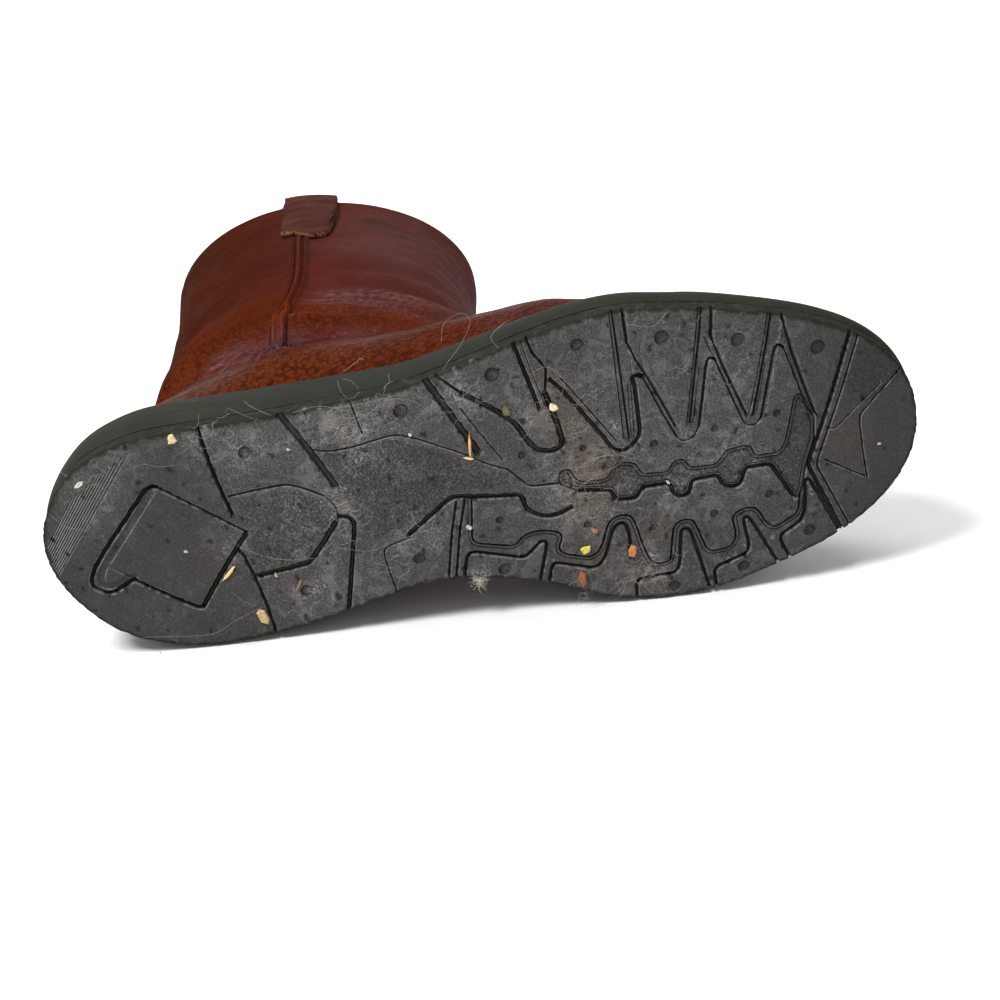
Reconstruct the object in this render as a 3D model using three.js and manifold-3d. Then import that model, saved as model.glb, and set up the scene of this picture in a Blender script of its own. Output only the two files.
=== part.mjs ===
// Pull-on work boot with a wedge sole, for the right foot, in millimetres.
// Each piece is drawn as if the boot stood up: x runs from the back of the heel to the toe,
// y to the inner side of the foot and z up from the tread. The last section lays the boot on its inner side,
// where it rests on the edge of the sole and on the shaft.
import * as THREE from "three";
import { ConvexHull } from "three/addons/math/ConvexHull.js";
import { mergeVertices } from "three/addons/utils/BufferGeometryUtils.js";
import Module from "manifold-3d";

const wasm = await Module();
wasm.setup();
const { lerp, degToRad, clamp } = THREE.MathUtils;

// Driving dimensions of the sole
const soleLength = 311;
const ballWidth = 111;
const heelRound = 46; // length of the rounded back end of the tread
const toeRound = 80; // length of the rounded front end of the tread
const toeSpring = 8;
const springLength = 95;
const treadThickness = 7;
const treadEdge = 0.9; // rounding of the tread's lower edge
const grooveDepth = 2.8;
const heelBand = 31; // height of the sole's side at the heel
const toeBand = 17; // height of the sole's side at the ball and toe
const bandBulge = 1.3;
const cupDepth = 7; // depth of the rim in which the upper sits
const rimWall = 2.6;
const insoleThickness = 3.5;

// Driving dimensions of the upper
const instepHeight = 105; // top of the instep above the tread
const shaftHeight = 285; // collar above the tread
const collarLength = 149; // collar from back to front
const collarSetback = 17; // back of the collar in front of the heel's back
const collarThickness = 97; // collar from side to side
const collarLean = 8; // middle of the collar, moved towards the inner side
const collarTurn = 5; // turn of the collar towards the inner side, in degrees
const collarDip = 4; // front of the collar below its back
const leather = 2.4;
const gap = 0.3; // room between two pieces that touch

// Driving dimensions of the trimmings
const seamWidth = 10;
const seamThickness = 1.1;
const beadWidth = 3;
const beadHeight = 0.9;
const tabWidth = 27;
const tabDrop = 68; // length of the tab below the collar
const tabThickness = 2.2;
const tabStand = 3.2; // room between the collar and the loop of the tab
const tabCorner = 6;

// How finely curved pieces are faceted
const turns = 48; // facets round a ring
const joinFacets = 8; // facets of a round groove end

// The tread's middle line and half width along its length, in shares of length and ball width.
// The rounding of both ends is left out here and comes from roundEnd.
const treadTable = [
  { at: 0.0, middle: -0.031, half: 0.333 },
  { at: 0.05, middle: -0.016, half: 0.364 },
  { at: 0.1, middle: -0.005, half: 0.366 },
  { at: 0.18, middle: 0.006, half: 0.377 },
  { at: 0.28, middle: -0.003, half: 0.366 },
  { at: 0.36, middle: -0.03, half: 0.347 },
  { at: 0.43, middle: -0.05, half: 0.338 },
  { at: 0.5, middle: -0.056, half: 0.374 },
  { at: 0.56, middle: -0.049, half: 0.422 },
  { at: 0.62, middle: -0.027, half: 0.477 },
  { at: 0.68, middle: -0.014, half: 0.5 },
  { at: 0.74, middle: -0.001, half: 0.488 },
  { at: 0.82, middle: 0.004, half: 0.461 },
  { at: 0.9, middle: 0.011, half: 0.457 },
  { at: 0.96, middle: 0.016, half: 0.468 },
  { at: 1.0, middle: 0.022, half: 0.487 },
];

// Height of the sole's side between toeBand, share 0, and heelBand, share 1.
const bandTable = [
  { at: 0.0, rise: 0.82 },
  { at: 0.12, rise: 0.95 },
  { at: 0.26, rise: 0.96 },
  { at: 0.4, rise: 0.66 },
  { at: 0.52, rise: 0.4 },
  { at: 0.66, rise: 0.13 },
  { at: 0.8, rise: 0.0 },
  { at: 1.0, rise: 0.0 },
];

// Rings of the upper from the sole to the instep. heelX and topX are where a ring meets the back line and
// the top line of the vamp, in shares of the sole's length, and heelZ and topZ their heights, in shares of
// instepHeight. oval tells how far the ring has turned from the sole's outline into the shaft's oval, outer
// and inner scale its two half widths, and flat how far it has left the cup's floor for its own plane.
const footTable = [
  { heelX: 0.0085, heelZ: 0.36, topX: 0.987, topZ: 0.33, oval: 0.45, outer: 1.03, inner: 1.03, flat: 0.35 },
  { heelX: 0.0095, heelZ: 0.42, topX: 0.976, topZ: 0.42, oval: 0.62, outer: 1.06, inner: 1.03, flat: 0.6 },
  { heelX: 0.0115, heelZ: 0.475, topX: 0.952, topZ: 0.485, oval: 0.72, outer: 1.055, inner: 1, flat: 0.8 },
  { heelX: 0.0145, heelZ: 0.525, topX: 0.909, topZ: 0.535, oval: 0.78, outer: 1.03, inner: 0.97, flat: 1 },
  { heelX: 0.0185, heelZ: 0.57, topX: 0.854, topZ: 0.575, oval: 0.82, outer: 0.99, inner: 0.93, flat: 1 },
  { heelX: 0.024, heelZ: 0.615, topX: 0.795, topZ: 0.625, oval: 0.85, outer: 0.95, inner: 0.9, flat: 1 },
  { heelX: 0.03, heelZ: 0.665, topX: 0.737, topZ: 0.69, oval: 0.88, outer: 0.9, inner: 0.86, flat: 1 },
  { heelX: 0.038, heelZ: 0.72, topX: 0.682, topZ: 0.765, oval: 0.905, outer: 0.84, inner: 0.83, flat: 1 },
  { heelX: 0.047, heelZ: 0.785, topX: 0.633, topZ: 0.86, oval: 0.93, outer: 0.8, inner: 0.81, flat: 1 },
  { heelX: 0.057, heelZ: 0.86, topX: 0.594, topZ: 0.965, oval: 0.955, outer: 0.82, inner: 0.81, flat: 1 },
  { heelX: 0.067, heelZ: 0.95, topX: 0.563, topZ: 1.085, oval: 0.98, outer: 0.88, inner: 0.83, flat: 1 },
  { heelX: 0.075, heelZ: 1.055, topX: 0.544, topZ: 1.22, oval: 1, outer: 0.93, inner: 0.86, flat: 1 },
];

// Rings of the shaft from the instep to the collar. upBack and upFront are the shares of the way from
// instepHeight to the collar at both ends of a ring. back and front are shares of collarLength, from the
// collar's own back and front. outer and inner scale half of collarThickness, and lean is the share of the
// collar's lean and turn.
const shaftTable = [
  { upBack: 0.094, upFront: 0.21, back: 0.05, front: -0.02, outer: 0.94, inner: 0.88, lean: 0.3 },
  { upBack: 0.178, upFront: 0.305, back: 0.054, front: -0.03, outer: 0.93, inner: 0.9, lean: 0.36 },
  { upBack: 0.278, upFront: 0.41, back: 0.054, front: -0.033, outer: 0.92, inner: 0.92, lean: 0.44 },
  { upBack: 0.394, upFront: 0.52, back: 0.05, front: -0.031, outer: 0.93, inner: 0.94, lean: 0.54 },
  { upBack: 0.522, upFront: 0.635, back: 0.044, front: -0.025, outer: 0.95, inner: 0.96, lean: 0.65 },
  { upBack: 0.65, upFront: 0.745, back: 0.034, front: -0.017, outer: 0.97, inner: 0.975, lean: 0.76 },
  { upBack: 0.778, upFront: 0.845, back: 0.02, front: -0.009, outer: 0.985, inner: 0.99, lean: 0.87 },
  { upBack: 0.9, upFront: 0.93, back: 0.009, front: -0.002, outer: 1, inner: 1, lean: 0.95 },
  { upBack: 1, upFront: 1, back: 0, front: 0, outer: 1, inner: 1, lean: 1 },
];

// Main grooves of the tread. Points are hundredths of the tread's length, and of the ball width from its
// middle line with the outer side negative. width is in millimetres.
const grooveTable = [
  { width: 1.8, path: [[20, -39], [20.4, -23.4], [21.7, -6.2]] },
  { width: 1.8, path: [[21.6, 5.4], [22.8, 24.3], [23.3, 40]] },
  {
    width: 2.4,
    path: [[13.4, -20.7], [22.7, 0.5], [15.4, 24.6],
      [8.8, 10.1], [5.7, 14.2], [4, 10.4], [5, 3.4], [13.4, -20.7]],
  },
  { width: 2.4, path: [[32.7, 2.3], [29.1, 13.9], [22.8, 16.2]] },
  { width: 2.8, path: [[28.8, -40], [33.6, -9.4]] },
  { width: 2.2, path: [[34.4, 1.1], [34.7, 3.4], [31.9, 38]] },
  {
    width: 2.4,
    path: [[40.4, 11.4], [45.5, 0.7], [54.1, 3.4], [54.6, 10.8], [57.3, 13.2], [58.9, 11.3]],
  },
  { width: 3, path: [[47.3, 2.3], [44, 34]] },
  { width: 3, path: [[44.8, -44], [49.7, -13.5]] },
  { width: 3, path: [[46.5, -45], [52.5, -25.9], [56.5, -9.7], [59.3, -9.9], [58.2, -27]] },
  { width: 2.4, path: [[92.7, -31.2], [86.9, 11.7], [90.1, 36.5]] },
  {
    width: 4,
    path: [[61.1, 1.5], [64.3, 5.4], [66.8, 4], [69.4, 6.3],
      [73.3, 4.8], [77.1, 6.8], [80.4, 4.8], [83, 7.2]],
  },
];

// Pairs of grooves that leave pointed lugs along the outer side: one from root to tip, and an arm that leaves
// the root at the edge, bends at elbow and ends at foot. In hundredths of the tread's length.
const outerLugs = [
  { root: 55.2, tip: 57.3, elbow: 58.8, foot: 64.7 },
  { root: 66.8, tip: 66.8, elbow: 68, foot: 72.4 },
  { root: 75.8, tip: 73.6, elbow: 76.8, foot: 80.5 },
  { root: 84.2, tip: 81.5, elbow: 85.3, foot: 88 },
];
const outerLugWidth = 4.2;
const outerArmWidth = 2.6;
const lugEdge = -53; // past the outer edge, in hundredths of the ball width
const lugElbow = -32;
const lugTip = -8;

// A winding groove between the square lugs of the inner side, in hundredths as above.
const meander = [
  [47.3, 17.5], [52.3, 23.5], [53.8, 18.9], [56.5, 18.9], [57.5, 27], [61.3, 32.4], [63.6, 19.4],
  [65.5, 18.8], [66.9, 38.8], [70, 38.7], [71.1, 23.6], [72.5, 24], [74.2, 38], [77.4, 37],
  [78.1, 23.4], [79.6, 23.4], [81.8, 33], [85.4, 28.8], [86.1, 18],
];
const meanderWidth = 3.4;
const innerNotches = [
  { from: [56.5, 27], to: [54.3, 41] },
  { from: [71.7, 26], to: [74, 53] },
  { from: [81.8, 33], to: [83.8, 46] },
];

// Smooth value of a table's column at a share of the way, by a cubic through its rows.
function follow(table, share, column) {
  const t = clamp(share, table[0].at, table.at(-1).at);
  let i = 0;
  while (i < table.length - 2 && t > table[i + 1].at) i += 1;
  const slope = (k) => {
    const low = table[Math.max(k - 1, 0)];
    const high = table[Math.min(k + 1, table.length - 1)];
    return (high[column] - low[column]) / (high.at - low.at);
  };
  const [a, b] = [table[i], table[i + 1]];
  const span = b.at - a.at;
  const s = (t - a.at) / span;
  const rise = b[column] - a[column];
  return (
    a[column] +
    rise * s * s * (3 - 2 * s) +
    span * s * (1 - s) * (slope(i) * (1 - s) - slope(i + 1) * s)
  );
}

// Share of the full width at a distance from a rounded end.
function roundEnd(distance, round) {
  if (distance >= round) return 1;
  const left = (round - Math.max(distance, 0)) / round;
  return Math.sqrt(1 - left * left);
}

const springHeight = (x) =>
  toeSpring * Math.pow(Math.max(0, (x - soleLength + springLength) / springLength), 2);
const bandHeight = (x) =>
  springHeight(x) + toeBand + (heelBand - toeBand) * follow(bandTable, x / soleLength, "rise");
const floorHeight = (x) => bandHeight(x) - cupDepth;
const treadMiddle = (x) => ballWidth * follow(treadTable, x / soleLength, "middle");
const treadHalf = (x) => ballWidth * follow(treadTable, x / soleLength, "half");

// A ring goes round counterclockwise as seen from above, from the heel along the outer side to the toe and
// back. along is the share of its length, and side is -1 on the outer side and 1 on the inner side.
function ring(place) {
  return Array.from({ length: turns }, (_, i) => {
    const angle = (2 * Math.PI * i) / turns;
    return place((1 - Math.cos(angle)) / 2, i * 2 < turns ? -1 : 1, angle);
  });
}

// The sole's outline grown by a distance all round, at a height given as a function of x.
function outlineRing(grow, height) {
  const length = soleLength + 2 * grow;
  return ring((along, side) => {
    const x = length * along - grow;
    const half =
      (treadHalf(x) + grow) *
      roundEnd(length * along, heelRound + grow) *
      roundEnd(length * (1 - along), toeRound + grow);
    return new THREE.Vector3(x, treadMiddle(x) + side * half, height(x));
  });
}

// Turns lists of vertices and faces into a manifold solid.
function solidFrom(geometry) {
  const bare = geometry.index ? geometry.toNonIndexed() : geometry.clone();
  bare.deleteAttribute("normal");
  bare.deleteAttribute("uv");
  const merged = mergeVertices(bare, 1e-4);
  return new wasm.Manifold(
    new wasm.Mesh({
      numProp: 3,
      vertProperties: new Float32Array(merged.attributes.position.array),
      triVerts: new Uint32Array(merged.index.array),
    }),
  );
}

function geometryFrom(points, faces) {
  return new THREE.BufferGeometry()
    .setAttribute("position", new THREE.Float32BufferAttribute(points.flatMap((p) => p.toArray()), 3))
    .setIndex(faces.flat());
}

// Faces between each ring and the next one, given by the numbers of both rings.
function bands(pairs) {
  return pairs.flatMap(([a, b]) =>
    Array.from({ length: turns }, (_, i) => {
      const j = (i + 1) % turns;
      return [
        [a * turns + i, a * turns + j, b * turns + j],
        [a * turns + i, b * turns + j, b * turns + i],
      ];
    }).flat(),
  );
}

// A lid over a ring, from side to side, which looks up.
function lid(number) {
  const at = (i) => number * turns + (i % turns);
  const faces = [];
  for (let i = 0; i < turns / 2; i += 1) {
    const [a, b, c, d] = [at(i), at(i + 1), at(turns - i - 1), at(turns - i)];
    if (b !== c) faces.push([a, b, c]);
    if (a !== d) faces.push([a, c, d]);
  }
  return faces;
}

// A solid with a lid on its first and last ring, listed from the bottom outwards and up.
function stackSolid(rings) {
  const pairs = rings.slice(1).map((_, i) => [i, i + 1]);
  const bottom = lid(0).map(([a, b, c]) => [a, c, b]);
  return solidFrom(geometryFrom(rings.flat(), [...bands(pairs), ...lid(rings.length - 1), ...bottom]));
}

// A wall whose section is the closed list of rings.
function wallSolid(rings) {
  const pairs = rings.map((_, i) => [i, (i + 1) % rings.length]);
  return solidFrom(geometryFrom(rings.flat(), bands(pairs)));
}

function meshFrom(name, solid, material) {
  const made = solid.getMesh();
  const geometry = new THREE.BufferGeometry()
    .setAttribute("position", new THREE.BufferAttribute(new Float32Array(made.vertProperties), 3))
    .setIndex(new THREE.BufferAttribute(made.triVerts, 1));
  const flat = geometry.toNonIndexed();
  flat.computeVertexNormals();
  const mesh = new THREE.Mesh(flat, material);
  mesh.name = name;
  return mesh;
}

// Outsole

const treadPoint = ([along, across]) =>
  new THREE.Vector2((along / 100) * soleLength, (across / 100) * ballWidth);

// A straight cut between two points of the tread, open below, whose roof follows the tread's spring.
function slot(from, to, width) {
  const run = to.clone().sub(from);
  const box = new THREE.BoxGeometry(run.length(), width, 2 * grooveDepth);
  box.rotateZ(run.angle());
  box.translate((from.x + to.x) / 2, (from.y + to.y) / 2, 0);
  return shapeRoof(box);
}

function grooveEnd(point, width) {
  const round = new THREE.CylinderGeometry(width / 2, width / 2, 2 * grooveDepth, joinFacets);
  round.rotateX(Math.PI / 2);
  round.translate(point.x, point.y, 0);
  return shapeRoof(round);
}

function shapeRoof(geometry) {
  const place = geometry.attributes.position;
  for (let i = 0; i < place.count; i += 1) {
    const above = place.getZ(i) > 0;
    place.setZ(i, above ? springHeight(place.getX(i)) + grooveDepth : -grooveDepth);
  }
  return solidFrom(geometry);
}

function grooveCutters() {
  const cutters = [];
  const cut = (width, path) => {
    const points = path.map(treadPoint);
    points.forEach((p) => cutters.push(grooveEnd(p, width)));
    points.slice(1).forEach((p, i) => cutters.push(slot(points[i], p, width)));
  };
  grooveTable.forEach((row) => cut(row.width, row.path));
  outerLugs.forEach((row) => {
    cut(outerLugWidth, [[row.root, lugEdge], [row.tip, lugTip]]);
    cut(outerArmWidth, [[row.root + 0.8, lugEdge], [row.elbow, lugElbow], [row.foot, lugTip]]);
  });
  cut(meanderWidth, meander);
  innerNotches.forEach((row) => cut(meanderWidth, [row.from, row.to]));
  return cutters;
}

function makeOutsole() {
  const top = (x) => springHeight(x) + treadThickness;
  const body = stackSolid([
    outlineRing(-treadEdge, springHeight),
    outlineRing(0, (x) => springHeight(x) + treadEdge),
    outlineRing(0, top),
  ]);
  return grooveCutters().reduce((solid, cutter) => solid.subtract(cutter), body);
}

// Midsole: the wedge with its rim

// Share of the bulge at a share of the height of the sole's side.
const bandSection = [
  { up: 0, out: 0.1 },
  { up: 0.2, out: 0.7 },
  { up: 0.5, out: 1 },
  { up: 0.8, out: 0.7 },
  { up: 0.94, out: 0.2 },
  { up: 1, out: -0.5 },
];

function makeMidsole() {
  const low = (x) => springHeight(x) + treadThickness + gap;
  const side = bandSection.map((row) =>
    outlineRing(bandBulge * row.out, (x) => low(x) + (bandHeight(x) - low(x)) * row.up),
  );
  return stackSolid([...side, outlineRing(-rimWall, bandHeight), outlineRing(-rimWall, floorHeight)]);
}

// Upper

const footInset = rimWall + gap;

// A ring of the upper between a point on its back line and a point on its front line.
function upperRing({ back, front, width, middle, backRound, frontRound, height, turn = 0 }) {
  const length = front - back;
  const pivot = new THREE.Vector3((back + front) / 2, 0, 0);
  return ring((along, side) => {
    const x = back + length * along;
    const half =
      width(x, side) * roundEnd(length * along, backRound) * roundEnd(length * (1 - along), frontRound);
    const point = new THREE.Vector3(x, side * half, height(along, x));
    point.sub(pivot).applyAxisAngle(new THREE.Vector3(0, 0, 1), turn).add(pivot);
    point.y += middle(x);
    return point;
  });
}

// The foot's rings have the sole's own rounding at the bottom and half an oval at the instep.
function footRing(row) {
  const back = row.heelX * soleLength;
  const front = row.topX * soleLength;
  const halfLength = (front - back) / 2;
  const heelZ = row.heelZ * instepHeight;
  const topZ = row.topZ * instepHeight;
  const lift = heelZ - floorHeight(back);
  return upperRing({
    back,
    front,
    backRound: lerp(heelRound, halfLength, row.oval),
    frontRound: lerp(toeRound, halfLength, row.oval * row.oval),
    middle: (x) => lerp(treadMiddle(x), shaftTable[0].lean * collarLean, row.oval),
    width: (x, side) =>
      lerp(treadHalf(x) - footInset, collarThickness / 2, row.oval) * (side < 0 ? row.outer : row.inner),
    height: (along, x) => lerp(floorHeight(x) + lift, lerp(heelZ, topZ, along), row.flat),
  });
}

function shaftRing(row) {
  const back = collarSetback + row.back * collarLength;
  const front = collarSetback + (1 + row.front) * collarLength;
  const backZ = lerp(instepHeight, shaftHeight, row.upBack);
  const frontZ = lerp(instepHeight, shaftHeight - collarDip, row.upFront);
  return upperRing({
    back,
    front,
    backRound: (front - back) / 2,
    frontRound: (front - back) / 2,
    middle: () => row.lean * collarLean,
    width: (x, side) => (collarThickness / 2) * (side < 0 ? row.outer : row.inner),
    height: (along) => lerp(backZ, frontZ, along),
    turn: degToRad(collarTurn * row.lean),
  });
}

// The lowest two rings stand in the cup and keep the sole's own outline.
const cupRings = (distance) => [
  outlineRing(distance - footInset, (x) => floorHeight(x) + gap),
  outlineRing(distance - footInset, bandHeight),
];
const upperRings = [...cupRings(0), ...footTable.map(footRing), ...shaftTable.map(shaftRing)];

// Outward direction of the upper's surface at each vertex of its rings.
const upperNormals = (() => {
  const pairs = upperRings.slice(1).map((_, i) => [i, i + 1]);
  const geometry = geometryFrom(upperRings.flat(), bands(pairs));
  geometry.computeVertexNormals();
  const normals = geometry.attributes.normal;
  return upperRings.map((points, k) =>
    points.map((_, i) => new THREE.Vector3().fromBufferAttribute(normals, k * turns + i)),
  );
})();

// The upper's rings moved outwards, with the collar raised.
function offsetRings(distance, raise = 0) {
  const cup = cupRings(distance);
  return upperRings.map((points, k) =>
    cup[k] ?? points.map((p, i) => {
      const moved = p.clone().addScaledVector(upperNormals[k][i], distance);
      if (k === upperRings.length - 1) moved.z += raise;
      return moved;
    }),
  );
}

// A wall between two offsets of the upper.
function upperWall(outside, inside, raise = 0) {
  return wallSolid([...offsetRings(outside, raise), ...offsetRings(inside, raise).reverse()]);
}

// Trimmings, cut from offsets of the upper by upright outlines that are pushed through one side

const outerSide = -1;
const innerSide = 1;
const tabMiddle = collarSetback + 0.49 * collarLength;
const tabLow = shaftHeight - tabDrop;

// A side view outline pushed from the middle of the boot out through one side.
function sideCutter(points, side) {
  const shape = new THREE.Shape(points);
  const geometry = new THREE.ExtrudeGeometry(shape, { depth: ballWidth, bevelEnabled: false });
  geometry.rotateX(Math.PI / 2);
  geometry.translate(0, side < 0 ? 0 : ballWidth, 0);
  return solidFrom(geometry);
}

// The seam's way from the sole to the tab, in shares of its height and of its swing to the back.
const seamSwing = 9;
const seamTable = [
  { at: 0, swing: -1 },
  { at: 0.1, swing: -1.1 },
  { at: 0.18, swing: -0.4 },
  { at: 0.34, swing: -0.6 },
  { at: 0.56, swing: 0.1 },
  { at: 1, swing: -0.1 },
];
const seamFoot = heelBand + gap;
const seamTop = tabLow - gap;
const seamSteps = 10;

function seamOutline(width) {
  const left = [];
  const right = [];
  for (let i = 0; i <= seamSteps; i += 1) {
    const share = i / seamSteps;
    const x = tabMiddle + seamSwing * follow(seamTable, share, "swing");
    const z = lerp(seamFoot, seamTop, share);
    left.push(new THREE.Vector2(x - width / 2, z));
    right.push(new THREE.Vector2(x + width / 2, z));
  }
  return [...left, ...right.reverse()];
}

// A flat strip with a raised bead along its middle.
function makeSeam(side) {
  const clear = upperWall(gap, -2 * leather);
  const strip = upperWall(gap + seamThickness, -leather).intersect(sideCutter(seamOutline(seamWidth), side));
  const bead = upperWall(gap + seamThickness + beadHeight, -leather).intersect(
    sideCutter(seamOutline(beadWidth), side),
  );
  return strip.add(bead).subtract(clear);
}

function tabOutline() {
  const [low, high] = [tabLow, shaftHeight + tabStand + 2 * tabThickness];
  const shape = new THREE.Shape();
  const [left, right] = [tabMiddle - tabWidth / 2, tabMiddle + tabWidth / 2];
  shape.moveTo(left + tabCorner, low);
  shape.lineTo(right - tabCorner, low);
  shape.absarc(right - tabCorner, low + tabCorner, tabCorner, -Math.PI / 2, 0);
  shape.lineTo(right, high);
  shape.lineTo(left, high);
  shape.absarc(left + tabCorner, low + tabCorner, tabCorner, Math.PI, 1.5 * Math.PI);
  return shape.extractPoints(4).shape.slice(0, -1);
}

// A loop that comes up outside the wall, over the collar and down again inside.
function makeTab(side) {
  const room = upperWall(gap, -leather - gap, tabStand);
  const loop = upperWall(gap + tabThickness, -leather - gap - tabThickness, tabStand + tabThickness);
  return loop.intersect(sideCutter(tabOutline(), side)).subtract(room);
}

// Insole

function makeInsole() {
  const inset = footInset + leather + gap;
  const height = (lift) => (x) => floorHeight(x) + lift;
  return stackSolid([outlineRing(-inset, height(gap)), outlineRing(-inset, height(gap + insoleThickness))]);
}

// Materials

const rubber = new THREE.MeshStandardMaterial({ color: 0x35363a, roughness: 0.85, metalness: 0 });
const band = new THREE.MeshStandardMaterial({ color: 0x3c403d, roughness: 0.75, metalness: 0 });
const hide = new THREE.MeshStandardMaterial({ color: 0x5a2418, roughness: 0.5, metalness: 0 });
const trim = new THREE.MeshStandardMaterial({ color: 0x4d2016, roughness: 0.55, metalness: 0 });
const board = new THREE.MeshStandardMaterial({ color: 0x8a7358, roughness: 0.9, metalness: 0 });

// The boot, standing

const standing = new THREE.Group();
standing.add(
  meshFrom("outsole", makeOutsole(), rubber),
  meshFrom("midsole", makeMidsole(), band),
  meshFrom("insole", makeInsole(), board),
  meshFrom("upper", upperWall(0, -leather), hide),
  meshFrom("side_seam_outer", makeSeam(outerSide), trim),
  meshFrom("side_seam_inner", makeSeam(innerSide), trim),
  meshFrom("pull_tab_outer", makeTab(outerSide), trim),
  meshFrom("pull_tab_inner", makeTab(innerSide), trim),
);

// Laying it down: the face of the convex hull that looks to the inner side, under the boot's balance point,
// becomes the floor, with the toe along +X and the shaft along +Y

const corners = standing.children.flatMap((mesh) => {
  const place = mesh.geometry.attributes.position;
  return Array.from({ length: place.count }, (_, i) => new THREE.Vector3().fromBufferAttribute(place, i));
});

const balanceShare = { length: 0.4, lean: 0.3, height: 0.3 }; // where the boot's weight acts
const balance = new THREE.Vector3(
  balanceShare.length * soleLength,
  balanceShare.lean * collarLean,
  balanceShare.height * shaftHeight,
);
const facing = 0.7; // least cosine between the floor's face and the inner side
const inward = new THREE.Vector3(0, 1, 0);
const belowBalance = new THREE.Ray(balance, inward);
const hull = new ConvexHull().setFromPoints(corners);
const floorFace = hull.faces.find((face) => {
  const edge = face.edge;
  const [a, b, c] = [edge.tail().point, edge.head().point, edge.next.head().point];
  const under = belowBalance.intersectTriangle(a, b, c, false, new THREE.Vector3());
  return under && face.normal.dot(inward) > facing;
});
const up = floorFace.normal.clone().negate();
const forward = new THREE.Vector3(1, 0, 0).projectOnPlane(up).normalize();
const sideways = new THREE.Vector3().crossVectors(up, forward);
const lying = new THREE.Matrix4().makeBasis(forward, sideways, up).transpose();
standing.quaternion.setFromRotationMatrix(lying);

const boot = new THREE.Group();
boot.add(standing);
boot.updateMatrixWorld(true);
const box = new THREE.Box3().setFromObject(standing, true);
const middle = box.getCenter(new THREE.Vector3());
standing.position.set(-middle.x, -middle.y, -box.min.z);
boot.updateMatrixWorld(true);

export default boot;
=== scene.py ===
# Looks of a pull-on work boot with a wedge sole, lying on its inner side.
# Shapes are worked out in millimetres in the boot's own frame, as if it stood up: x runs from the heel's back
# to the toe, y to the inner side of the foot and z up from the tread. lay() brings them into the row frame.
import math
import bpy
import numpy as np
from mathutils import Matrix, Vector
from mathutils.bvhtree import BVHTree
from mathutils.geometry import delaunay_2d_cdt
from mathutils.kdtree import KDTree


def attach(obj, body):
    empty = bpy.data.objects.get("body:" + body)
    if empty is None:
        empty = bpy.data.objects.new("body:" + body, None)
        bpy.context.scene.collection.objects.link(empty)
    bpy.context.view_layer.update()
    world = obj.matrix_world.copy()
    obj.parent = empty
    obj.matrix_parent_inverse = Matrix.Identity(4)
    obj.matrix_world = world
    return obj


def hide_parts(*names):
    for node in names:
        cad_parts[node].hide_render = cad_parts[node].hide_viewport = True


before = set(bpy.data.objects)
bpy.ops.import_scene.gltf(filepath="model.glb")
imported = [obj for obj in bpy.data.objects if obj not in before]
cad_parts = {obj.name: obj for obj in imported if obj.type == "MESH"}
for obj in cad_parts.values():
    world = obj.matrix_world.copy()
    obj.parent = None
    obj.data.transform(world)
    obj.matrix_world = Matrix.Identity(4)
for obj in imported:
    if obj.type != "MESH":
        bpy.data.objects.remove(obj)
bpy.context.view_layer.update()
random = np.random.default_rng(7)

# How the boot lies: the floor's upward direction in the boot's frame, and the boot's origin in the row frame
FLOOR_UP = np.array([0.0703784, -0.9964404, 0.0464044])
ORIGIN = np.array([-155.017, -144.179, 39.612])
FORWARD = np.array([1.0, 0.0, 0.0]) - FLOOR_UP[0] * FLOOR_UP
FORWARD /= np.linalg.norm(FORWARD)
LYING = np.array([FORWARD, np.cross(FLOOR_UP, FORWARD), FLOOR_UP])


def lay(points):
    """Points of the boot's frame in millimetres, as points of the row frame in metres."""
    return (np.asarray(points, float) @ LYING.T + ORIGIN) / 1000


# Sizes of the sole
SOLE_LENGTH = 311
BALL_WIDTH = 111
HEEL_ROUND = 46
TOE_ROUND = 80
TOE_SPRING = 8
SPRING_LENGTH = 95
TREAD_THICKNESS = 7
TREAD_EDGE = 0.9
HEEL_BAND = 31
TOE_BAND = 17
BAND_BULGE = 1.3
CUP_DEPTH = 7
RIM_WALL = 2.6
INSOLE_THICKNESS = 3.5

# Sizes of the upper
INSTEP_HEIGHT = 105
SHAFT_HEIGHT = 285
COLLAR_LENGTH = 149
COLLAR_SETBACK = 17
COLLAR_THICKNESS = 97
COLLAR_LEAN = 8
COLLAR_TURN = math.radians(5)
COLLAR_DIP = 4
LEATHER = 2.4
GAP = 0.3
FOOT_INSET = RIM_WALL + GAP

# Sizes of the trimmings
SEAM_HALF = 5.0
SEAM_THICKNESS = 1.1
BEAD_HEIGHT = 0.9
TAB_WIDTH = 27
TAB_DROP = 68
TAB_THICKNESS = 2.2
TAB_STAND = 3.2
TAB_MIDDLE = COLLAR_SETBACK + 0.49 * COLLAR_LENGTH
TAB_LOW = SHAFT_HEIGHT - TAB_DROP
SEAM_FOOT = HEEL_BAND + GAP
SEAM_TOP = TAB_LOW - GAP
SEAM_SWING = 9
OUTER = -1
INNER = 1


def table(names, *rows):
    """Columns by name of a table written in rows."""
    return dict(zip(names.split(), np.array(rows, float).T))


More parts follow.
